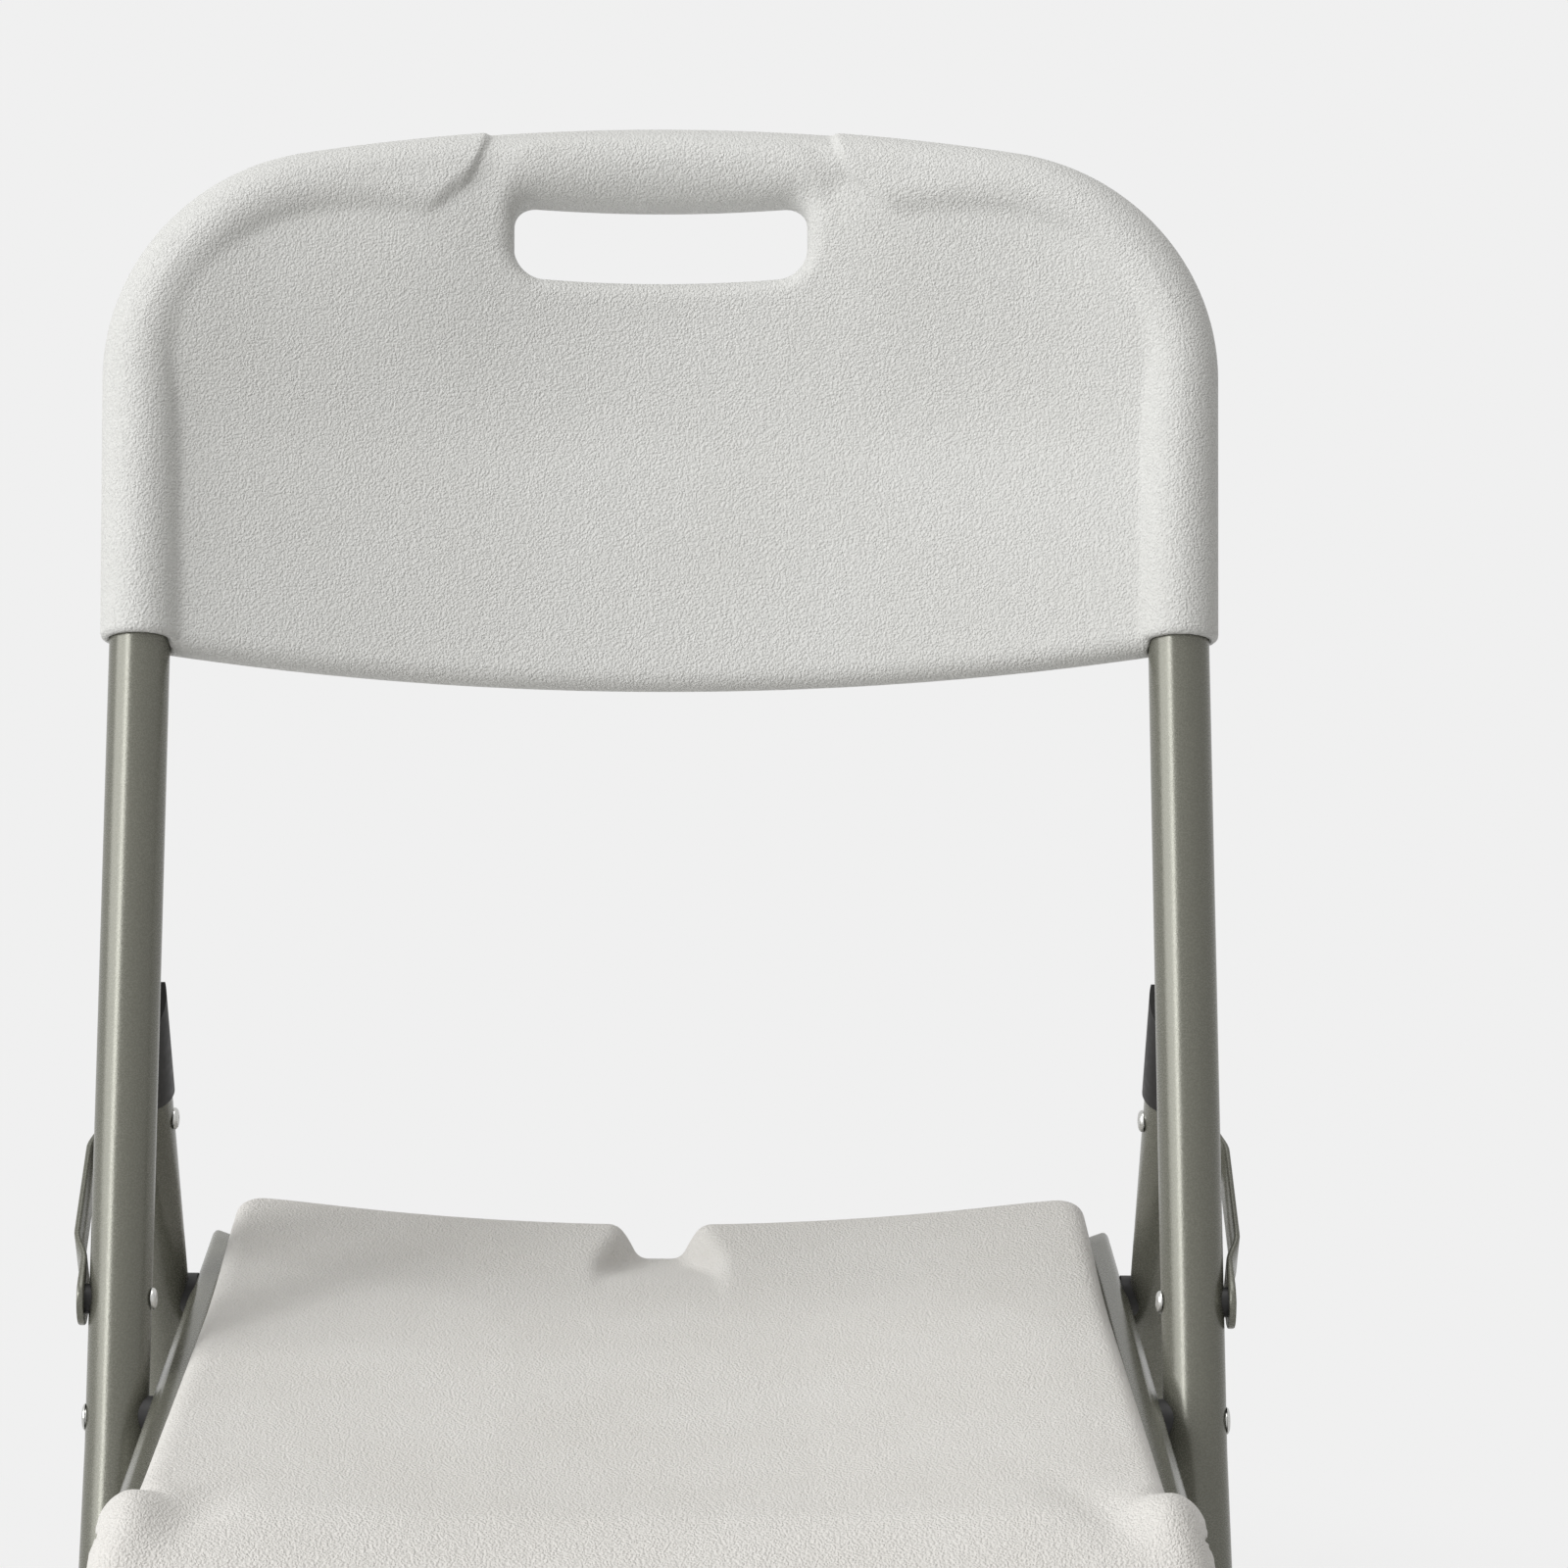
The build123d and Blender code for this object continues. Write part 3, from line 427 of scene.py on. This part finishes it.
seat_lines = (
    marks(-204.0, (-160.0, 1.5), (-34.0, 2.6), (34.0, 1.6), (160.0, 2.6), (204.0, 1.5)),
    marks(-211.0, (-140.0, 1.8), (130.0, 2.8), (210.0, 1.6)),
    marks(-2.0, (38.0, 1.5)),
)
points, quads = skin_of(seat_depth, seat_lines)
seat_panel = new_piece("seat_panel_moulding", points, quads, seat_plane)
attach(seat_panel, "seat")
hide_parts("seat_panel")
# The seat is the same plastic as the back, but its colour is set lighter and a little warmer than the back's:
# painted light falling on its upward-facing top.
seat_plastic_painted_lit = plastic_material("seat_plastic_painted_lit", (0.670, 0.657, 0.632), (0.650, 0.635, 0.607))
seat_panel.data.materials.append(seat_plastic_painted_lit)

# ---------------------------------------------------------------------- steel frame
# Legs, braces and cross tubes are round steel tube, in a satin olive-grey powder coat
# with a fine metallic sparkle.  The rails and the side links below have the same coat.
COAT = (0.140, 0.140, 0.115)
COAT_DARK = (0.123, 0.123, 0.100)
COAT_LIGHT = (0.160, 0.160, 0.133)


def paint_material(name):
    """Satin powder coat with metal flakes."""
    paint, nodes, links, shader, where = new_material(name, COAT, 0.26)
    flake = noise(nodes, links, where, 0.55, 1.0)
    sparkle = between(nodes, links, flake, 0.3, 0.7, 0, 1)
    tint = mix_colour(nodes, links, sparkle, COAT_DARK, COAT_LIGHT)
    links.new(tint, shader.inputs["Base Color"])
    shader.inputs["Metallic"].default_value = 0.3
    links.new(between(nodes, links, flake, 0.3, 0.7, 0.21, 0.32), shader.inputs["Roughness"])
    peel = noise(nodes, links, where, 0.9)
    add_bump(nodes, links, shader, peel, 0.06, 0.5)
    return paint


def finish_nodes(material, *names):
    """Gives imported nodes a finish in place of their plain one."""
    for name in names:
        for slot in frame["nodes"][name].material_slots:
            slot.material = material


frame_paint = paint_material("frame_paint_coat")
finish_nodes(
    frame_paint,
    "front_leg_left", "front_leg_right", "front_cross_brace",
    "rear_leg_left", "rear_leg_right", "rear_cross_brace",
    "seat_front_cross_tube", "seat_rear_cross_tube",
)

# ------------------------------------------------------------------------- weld beads
# The cross braces are cut to the legs' round and welded all the way round.  Each bead
# is a thin rippled ring of steel under the same coat, lying in the corner of the joint.
def node_middle(name):
    """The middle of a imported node's box, in metres."""
    corners = [Vector(corner) for corner in frame["nodes"][name].bound_box]
    place = frame["nodes"][name].matrix_world
    return place @ (sum(corners, Vector()) / 8)


BRACE = 9.5
BEAD = 1.7
RIPPLE = 0.3
RIPPLES = 16
BEAD_STEPS = 64
BEAD_SIDES = 8
LEG_SPLAY = math.radians(1.1)
REAR_LEAN = math.radians(23.6)
# The front legs run straight to about this far below the seat pivot, and splay below it.
SPLAY_START = 12.0


def weld_bead(centre, leg_up, leg_reach, side):
    """A bead round one end of a brace whose middle is leg_reach from the leg's centre."""
    up = leg_up.normalized()
    across = Vector((side, 0, 0))
    front = across.cross(up).normalized()
    points = []
    for step in range(BEAD_STEPS):
        turn = 2 * math.pi * step / BEAD_STEPS
        u, v = BRACE * math.cos(turn), BRACE * math.sin(turn)
        slope = up.x * side / up.z * u
        reach = leg_reach + slope - math.sqrt(TUBE**2 - v * v)
        spot = centre / MM + across * reach + up * u + front * v
        outward = (up * math.cos(turn) + front * math.sin(turn)).normalized()
        swell = BEAD + RIPPLE * math.cos(turn * RIPPLES)
        for k in range(BEAD_SIDES):
            a = 2 * math.pi * k / BEAD_SIDES
            skin = spot + outward * (swell * math.cos(a)) + across * (swell * math.sin(a))
            points.append(tuple(skin))
    faces = []
    for k in range(BEAD_STEPS):
        this, after = k * BEAD_SIDES, (k + 1) % BEAD_STEPS * BEAD_SIDES
        for i in range(BEAD_SIDES):
            j = (i + 1) % BEAD_SIDES
            faces.append((this + i, this + j, after + j, after + i))
    return points, faces


def finish_piece(piece, body, material, slot, *replaced):
    """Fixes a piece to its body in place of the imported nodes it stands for."""
    piece.data.materials.append(material)
    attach(piece, body)
    for name in replaced:
        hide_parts(name)


def weld_brace(name, body, lean, splay, reach):
    """Both beads of one brace as one piece."""
    middle = node_middle(name)
    points, faces = [], []
    for side in (1, -1):
        leg_up = Vector((-side * math.sin(splay), math.sin(lean), math.cos(lean)))
        bead, quads = weld_bead(middle, leg_up, reach, side)
        faces.extend(tuple(i + len(points) for i in quad) for quad in quads)
        points.extend(bead)
    piece = new_piece(name + "_welds", points, faces)
    finish_piece(piece, body, frame_paint, "frame_paint")


brace_drop = (seat_pivot - node_middle("front_cross_brace")).length / MM
front_reach = HALF_TRACK + (brace_drop - SPLAY_START) * math.tan(LEG_SPLAY)
weld_brace("front_cross_brace", "front_frame", FRONT_LEAN, LEG_SPLAY, front_reach)
weld_brace("rear_cross_brace", "rear_frame", -REAR_LEAN, 0.0, HALF_TRACK)

# -------------------------------------------------------------------------- seat rails
# Each rail is pressed from sheet steel: a channel beside the seat, a flange under it,
# and a rolled bead along the outer face.  Both its ends are closed down and rounded.
RAIL_OUT, RAIL_IN, RAIL_TOP, RAIL_LOW = 197.0, 184.8, 14.2, -14.0
RAIL_FRONT, RAIL_REAR = -180.0, 226.0
RAIL_BEND = 3.4
RAIL_END = 9.0
BEAD_OUT, BEAD_UP, BEAD_END = 1.5, 9.6, 143.0
SHEET = 1.5


def skin_rings(rings):
    """Faces between rings of equal length, closed at both ends."""
    count = len(rings[0])
    faces = []
    for start in range(0, (len(rings) - 1) * count, count):
        for i in range(count):
            a, b = start + i, start + (i + 1) % count
            faces.append((a, b, b + count, a + count))
    last = (len(rings) - 1) * count
    return faces + [tuple(range(count))[::-1], tuple(range(last, last + count))]


def rail_line(shrink):
    """The rail's section from the outer web's foot to the flange's edge, one skin."""
    out, inn = RAIL_OUT - shrink, RAIL_IN + shrink
    top, bend = RAIL_TOP - shrink, RAIL_BEND - shrink
    line = [(out, h) for h in (RAIL_LOW, -6.0, 2.0, 7.6)]
    line += [(out, 10.5 + 2.2 * math.sin(math.radians(a))) for a in (-60, -20, 20)]
    line.append((out, top - bend))
    for a in range(0, 91, 15):
        a = math.radians(a)
        line.append((out - bend + bend * math.cos(a), top - bend + bend * math.sin(a)))
    for a in range(90, 181, 15):
        a = math.radians(a)
        line.append((inn + bend + bend * math.cos(a), top - bend + bend * math.sin(a)))
    low = -shrink
    line += [(inn, 4.0), (inn, low + 1.2), (inn - 1.2, low), (175.0, low), (160.0, low)]
    return line


def rail_ring(r):
    """The closed section of the rail at one place along it."""
    end = max(r - (RAIL_REAR - RAIL_END), (RAIL_FRONT + RAIL_END) - r, 0.0)
    close = 1 - (RAIL_END - math.sqrt(max(RAIL_END**2 - end * end, 0.0))) / 14.1
    bead = float(ease((BEAD_END - r) / 16.0))
    ring = []
    for x, h in rail_line(0.0) + rail_line(SHEET)[::-1]:
        if x > RAIL_OUT - 0.5:
            x += BEAD_OUT * bead * max(0.0, 1 - ((h - BEAD_UP) / 2.6) ** 2)
        # The rear end is cut back towards the inside, and the top is slightly crowned.
        back = r - 1.2 * max(0.0, RAIL_OUT - x) * float(ease((r - 180.0) / 46.0))
        crown = 0.6 * (1 - ((x - 190.9) / 6.1) ** 2) if h > RAIL_TOP - 0.6 else 0.0
        ring.append((x, back, 0.1 + (h + crown - 0.1) * close))
    return ring


quarter = [math.radians(a) for a in range(0, 91, 15)]
rail_stations = [RAIL_FRONT + RAIL_END * (1 - math.cos(a)) for a in quarter]
rail_stations += list(np.linspace(-160.0, 130.0, 30))
rail_stations += [134.0, 138.0, 142.0, 146.0, 160.0, 175.0, 190.0, 203.0]
rail_stations += [RAIL_REAR - RAIL_END * (1 - math.sin(a)) for a in quarter]
rings = [rail_ring(r) for r in rail_stations]
for side, name in ((1, "seat_rail_right"), (-1, "seat_rail_left")):
    points = [(side * x, r, h) for ring in rings for x, r, h in ring]
    faces = skin_rings(rings)
    if side > 0:
        faces = [face[::-1] for face in faces]
    rail = new_piece(name + "_pressing", points, faces, seat_plane)
    rail.data.set_sharp_from_angle(angle=math.radians(40))
    finish_piece(rail, "seat", frame_paint, "frame_paint", name)

# --------------------------------------------------------------------------- side links
# Flat steel straps with round ends, one on each side, riveted to a front leg and to a
# rear leg.  Each is set out in the middle to clear the seat's rivet.
LINK_FACE, LINK_STEP, LINK_SHEET, LINK_HALF = 227.4, 4.1, 2.5, 10.5
# The strap's section: half widths across it, and mm out from its inner face.
STRAP = ((-1, 0.4), (-1, 2.1), (-0.96, 2.5), (0.96, 2.5), (1, 2.1), (1, 0.4), (0.96, 0), (-0.96, 0))
lower = joint_at["right_link_swing"]


def strap_out(place, length):
    """How far out the strap's inner face is at one place along it."""
    in_step = ease((place - 13.0) / 15.0) * ease((length - 13.0 - place) / 15.0)
    return LINK_FACE + LINK_STEP * float(in_step)


for side, name in ((1, "link_right"), (-1, "link_left")):
    upper = node_middle("link_rear_head_" + name[5:])
    reach = Vector((0, upper.y - lower.y, upper.z - lower.z)) / MM
    length = reach.length
    along = reach.normalized()
    wide = Vector((1, 0, 0)).cross(along)
    strap_stations = [-LINK_HALF * math.cos(math.radians(a)) for a in (2, 15, 30, 45, 60, 75)]
    strap_stations += list(np.linspace(0.0, length, 44))
    for a in (15, 30, 45, 60, 75, 88):
        strap_stations.append(length + LINK_HALF * math.sin(math.radians(a)))
    rings = []
    for place in strap_stations:
        past = max(-place, place - length, 0.0)
        half = math.sqrt(max(LINK_HALF**2 - past**2, 0.04))
        out = strap_out(place, length)
        ring = []
        for u, v in STRAP:
            spot = Vector((0, lower.y, lower.z)) / MM + along * place + wide * (u * half)
            ring.append((side * (out + v), spot.y, spot.z))
        rings.append(ring)
    faces = skin_rings(rings)
    if side < 0:
        faces = [face[::-1] for face in faces]
    strap = new_piece(name + "_strap", [p for ring in rings for p in ring], faces)
    strap.data.set_sharp_from_angle(angle=math.radians(50))
    finish_piece(strap, name, frame_paint, "frame_paint", name)

# ------------------------------------------------------------------ plastic fittings
# The rear legs' end caps, the spacers, the washers and the feet are plain black moulded
# plastic.  Caps and feet are pushed on to the tubes.
black, nodes, links, shader, where = new_material("black_fitting", (0.010, 0.0095, 0.0095), 0.55)
cloud = noise(nodes, links, where, 3.0)
links.new(between(nodes, links, cloud, 0.3, 0.7, 0.48, 0.6), shader.inputs["Roughness"])
tint = mix_colour(nodes, links, cloud, (0.008, 0.0075, 0.0075), (0.013, 0.0125, 0.0125))
links.new(tint, shader.inputs["Base Color"])
leg_caps = ("rear_leg_cap_left", "rear_leg_cap_right")
finish_nodes(black, *leg_caps, "seat_pivot_spacers", "rear_leg_spacers", "link_washers")
for name in leg_caps:
    join = frame["nodes"][name].modifiers.new("join", "WELD")
    join.merge_threshold = 0.01 * MM
    soften = frame["nodes"][name].modifiers.new("soften", "BEVEL")
    soften.width = 0.8 * MM
    soften.segments = 3
    soften.angle_limit = math.radians(35)
    soften.harden_normals = True

# Each foot is a cup over the tube's end: a thick ribbed sole, two grooves and a rolled
# brim.  The sole is moulded level, so that the leaning leg stands flat.
FOOT_SIDES = 48
# Rings of the sole, as (height above the floor, radius), from its hollow to its edge.
SOLE = ((1.6, 9.0), (1.6, 10.0), (0.0, 11.0), (0.0, 14.0), (1.2, 14.8))
# Rings of the cup above it, as (distance up the leg, radius).
CUP = (
    (12.0, 14.9), (15.5, 14.9), (16.2, 14.2), (17.4, 14.2), (18.1, 14.8),
    (21.5, 14.8), (22.2, 14.1), (23.4, 14.1), (24.1, 14.7), (38.5, 14.5),
    (39.5, 15.1), (41.0, 15.2), (42.0, 14.7), (42.3, 13.9), (42.0, 12.8),
)


def leg_foot(name, body, floor_spot, up):
    """A foot whose centre line meets the floor at a spot, as a stack of rings."""
    u = up.cross(Vector((1, 0, 0))).normalized()
    v = up.cross(u).normalized()
    turns = [2 * math.pi * step / FOOT_SIDES for step in range(FOOT_SIDES)]

    def circle(middle, radius):
        return [middle + u * (radius * math.cos(a)) + v * (radius * math.sin(a)) for a in turns]

    middle = floor_spot / MM
    rings = []
    for level, radius in SOLE:
        round_sole = circle(middle, radius)
        rings.append([tuple(spot + up * ((level - spot.z) / up.z)) for spot in round_sole])
    for height, radius in CUP:
        rings.append([tuple(spot) for spot in circle(middle + up * height, radius)])
    cup = new_piece(name + "_cup", [p for ring in rings for p in ring], skin_rings(rings))
    cup.data.set_sharp_from_angle(angle=math.radians(50))
    finish_piece(cup, body, black, "black_plastic", name)


mount_at = {mount["name"]: Vector(mount["pos_m"]) for mount in frame["record"]["mounts"]}
for side, word in ((1, "right"), (-1, "left")):
    for body, lean, splay, foot in (
        ("front_frame", FRONT_LEAN, LEG_SPLAY, "front_foot_"),
        ("rear_frame", -REAR_LEAN, 0.0, "rear_foot_"),
    ):
        up = Vector((-side * math.sin(splay), math.sin(lean), math.cos(lean)))
        leg_foot(foot + word, body, mount_at[foot + word + "_face"], up)

# ------------------------------------------------------------------ rivets and screws
# Rivets and screws are zinc plated steel.  The rivets are the pivots: a shank through
# the rail or the strap and the leg, with a domed and dimpled head on each end.
zinc, nodes, links, shader, where = new_material("zinc_plate", (0.55, 0.55, 0.53), 0.3)
shader.inputs["Metallic"].default_value = 1.0
cloud = noise(nodes, links, where, 1.5)
links.new(between(nodes, links, cloud, 0.3, 0.7, 0.22, 0.42), shader.inputs["Roughness"])
tint = mix_colour(nodes, links, cloud, (0.5, 0.5, 0.48), (0.62, 0.62, 0.6))
links.new(tint, shader.inputs["Base Color"])
finish_nodes(zinc, "back_panel_screws", "seat_screws")


RIVET_SIDES = 28
# A head from its rim to its dimple's middle, as shares of its height and its radius.
DOME = (
    (0.0, 1.0), (0.3, 0.985), (0.6, 0.9), (0.85, 0.74), (0.97, 0.55),
    (1.0, 0.42), (0.9, 0.33), (0.68, 0.27), (0.6, 0.0),
)


def rivet_head(face, radius, height, way):
    """A head on a face, as (x, radius) pairs from its rim to its middle."""
    return [(face + way * height * x, radius * r) for x, r in DOME]


def rivets(name, body, pivot, shank, inner, outer, heads, sides=(1, -1)):
    """Rivets along X at a pivot, on one or both sides, turned as one piece.

    heads gives the radius and height of the inner head and then of the outer one.
    """
    in_radius, in_height, out_radius, out_height = heads
    profile = [(inner, 0.0)]
    if in_height:
        profile = rivet_head(inner, in_radius, in_height, -1)[::-1]
    profile += [(inner, shank), (outer, shank)] + rivet_head(outer, out_radius, out_height, 1)
    points, faces = [], []
    for side in sides:
        start = len(points)
        for x, radius in profile:
            for step in range(RIVET_SIDES):
                a = 2 * math.pi * step / RIVET_SIDES
                y, z = pivot.y / MM + radius * math.cos(a), pivot.z / MM + radius * math.sin(a)
                points.append((side * x, y, z))
        for k in range(len(profile) - 1):
            ring = start + k * RIVET_SIDES
            for i in range(RIVET_SIDES):
                a, b = ring + i, ring + (i + 1) % RIVET_SIDES
                face = (a, b, b + RIVET_SIDES, a + RIVET_SIDES)
                faces.append(face if side > 0 else (face[0], face[3], face[2], face[1]))
    piece = new_piece(name + "_turned", points, faces)
    piece.data.set_sharp_from_angle(angle=math.radians(60))
    finish_piece(piece, body, zinc, "zinc", name)


SEAT_SHANK = 4.0
LINK_SHANK = 3.0
GAP = 0.1
rear_pivot = joint_at["rear_leg_fold"]
link_top = node_middle("link_rear_head_right")
web, tube_out, tube_in = RAIL_OUT - SHEET - GAP, HALF_TRACK + TUBE, HALF_TRACK - TUBE
link_out = LINK_FACE + LINK_SHEET
for name, body, pivot, shank, inner, outer, heads in (
    ("seat_pivot_rivets", "front_frame", seat_pivot, SEAT_SHANK, web, tube_out, (6.5, 2.2, 5.4, 1.3)),
    ("rear_leg_rivets", "rear_frame", rear_pivot, SEAT_SHANK, web, tube_out, (6.5, 2.6, 6.5, 2.6)),
    ("link_front_rivets", "front_frame", lower, LINK_SHANK, tube_in, link_out + GAP, (4.6, 2.0, 4.2, 0.9)),
    ("link_rear_rivets", "rear_frame", link_top, LINK_SHANK, tube_in, tube_out, (4.6, 2.0, 3.4, 0.6)),
):
    rivets(name, body, pivot, shank, inner, outer, heads)
# The outer head of each rear link rivet turns with the strap, so it is a piece by itself.
for name, body, side in (
    ("link_rear_head_right", "link_right", 1),
    ("link_rear_head_left", "link_left", -1),
):
    rivets(name, body, link_top, LINK_SHANK, LINK_FACE, link_out, (0.0, 0.0, 4.6, 2.0), (side,))

# -------------------------------------------------------------------- floor and light
# A plain pale floor that runs up into a wall, lit by three large soft boxes and a dim
# warm world.  The wall stands far enough back for a look at the chair from behind.
FLOOR_HALF, FLOOR_FRONT, WALL, WALL_TOP, SWEEP = 5.0, -4.5, 5.0, 4.2, 0.9
SWEEP_STEPS = 12
floor_mesh = bpy.data.meshes.new("studio_floor")
profile = [(FLOOR_FRONT, 0.0), (WALL - SWEEP, 0.0)]
for step in range(1, SWEEP_STEPS + 1):
    a = math.radians(90 * step / SWEEP_STEPS)
    profile.append((WALL - SWEEP + SWEEP * math.sin(a), SWEEP - SWEEP * math.cos(a)))
profile.append((WALL, WALL_TOP))
verts = [(x, y, z) for x in (-FLOOR_HALF, FLOOR_HALF) for y, z in profile]
count = len(profile)
floor_mesh.from_pydata(verts, [], [(k, k + count, k + count + 1, k + 1) for k in range(count - 1)])
floor_mesh.shade_smooth()
floor = bpy.data.objects.new("studio_floor", floor_mesh)
bpy.context.scene.collection.objects.link(floor)
BACKDROP = 0.871
SHADOW_NEAR, SHADOW_FAR = 0.45, 0.95
ground = bpy.data.materials.new("studio_ground")
ground.use_nodes = True
nodes, links = ground.node_tree.nodes, ground.node_tree.links
shader = nodes["Principled BSDF"]
shader.inputs["Base Color"].default_value = (0.92, 0.92, 0.92, 1)
shader.inputs["Roughness"].default_value = 0.9
shader.inputs["Specular IOR Level"].default_value = 0.0
# Away from the chair the floor and wall are an even pale tone to the eye, and close to
# it the floor is plain, so that it keeps the shadow.
even = nodes.new("ShaderNodeEmission")
even.inputs["Color"].default_value = (BACKDROP, BACKDROP, BACKDROP, 1)
place = nodes.new("ShaderNodeTexCoord")
reach = nodes.new("ShaderNodeVectorMath")
reach.operation = "LENGTH"
links.new(place.outputs["Object"], reach.inputs[0])
away = nodes.new("ShaderNodeMapRange")
away.interpolation_type = "SMOOTHSTEP"
away.inputs["From Min"].default_value = SHADOW_NEAR
away.inputs["From Max"].default_value = SHADOW_FAR
links.new(reach.outputs["Value"], away.inputs["Value"])


def seen_by_eye(nodes, links):
    """1 for what is seen directly, in a mirror or through glass, 0 for light."""
    path = nodes.new("ShaderNodeLightPath")
    first = nodes.new("ShaderNodeMath")
    first.operation = "MAXIMUM"
    second = nodes.new("ShaderNodeMath")
    second.operation = "MAXIMUM"
    links.new(path.outputs["Is Camera Ray"], first.inputs[0])
    links.new(path.outputs["Is Glossy Ray"], first.inputs[1])
    links.new(first.outputs[0], second.inputs[0])
    links.new(path.outputs["Is Transmission Ray"], second.inputs[1])
    return second.outputs[0]


share = nodes.new("ShaderNodeMath")
share.operation = "MULTIPLY"
links.new(seen_by_eye(nodes, links), share.inputs[0])
links.new(away.outputs["Result"], share.inputs[1])
blend = nodes.new("ShaderNodeMixShader")
links.new(share.outputs[0], blend.inputs["Fac"])
links.new(shader.outputs[0], blend.inputs[1])
links.new(even.outputs[0], blend.inputs[2])
links.new(blend.outputs[0], nodes["Material Output"].inputs["Surface"])
floor_mesh.materials.append(ground)


def soft_box(name, place, aim_height, size, power):
    """A large lamp in metres and watts, aimed at a height above the chair's middle."""
    lamp = bpy.data.lights.new(name, "AREA")
    lamp.shape = "RECTANGLE"
    lamp.size, lamp.size_y = size
    lamp.energy = power
    box = bpy.data.objects.new(name, lamp)
    box.location = place
    box.rotation_mode = "QUATERNION"
    aim = Vector((0, 0, aim_height)) - Vector(place)
    box.rotation_quaternion = aim.to_track_quat("-Z", "Y")
    bpy.context.scene.collection.objects.link(box)


soft_box("key_box", (-4.40, -3.78, 3.63), 0.7, (1.3, 3.6), 182)
soft_box("side_box", (-5.74, -1.30, 3.43), 0.7, (4.2, 3.6), 190)
soft_box("top_box", (0.0, 0.0, 2.9), 0.6, (1.6, 1.6), 22)

WORLD_TINT = (1.0, 0.975, 0.935, 1)
WORLD_STRENGTH = 0.32
world = bpy.data.worlds.new("studio_air")
bpy.context.scene.world = world
world.use_nodes = True
nodes, links = world.node_tree.nodes, world.node_tree.links
nodes.clear()
seen = nodes.new("ShaderNodeBackground")
seen.inputs["Color"].default_value = (BACKDROP, BACKDROP, BACKDROP, 1)
light = nodes.new("ShaderNodeBackground")
light.inputs["Color"].default_value = WORLD_TINT
light.inputs["Strength"].default_value = WORLD_STRENGTH
mix = nodes.new("ShaderNodeMixShader")
out = nodes.new("ShaderNodeOutputWorld")
links.new(seen_by_eye(nodes, links), mix.inputs["Fac"])
links.new(light.outputs[0], mix.inputs[1])
links.new(seen.outputs[0], mix.inputs[2])
links.new(mix.outputs[0], out.inputs["Surface"])

# ----------------------------------------------------------------------------- camera
# The camera looks down at the back and the seat from in front, nearly square on, from
# about 2 m, so that the legs draw together a little towards the floor.
CAMERA_FROM_PIVOT = Vector((0.017, -1.808, 0.708))
CAMERA_PITCH = math.radians(13.94)
CAMERA_YAW = math.radians(0.52)
camera_data = bpy.data.cameras.new("camera")
camera_data.sensor_width = 36.0
camera_data.lens = 111.57
camera_data.shift_x = 0.081
camera_data.clip_start = 0.1
camera_data.clip_end = 50.0
camera = bpy.data.objects.new("camera", camera_data)
camera.location = seat_pivot + CAMERA_FROM_PIVOT
camera.rotation_euler = (math.pi / 2 - CAMERA_PITCH, 0, CAMERA_YAW)
bpy.context.scene.collection.objects.link(camera)
bpy.context.scene.camera = camera
bpy.context.scene.view_settings.view_transform = "Standard"
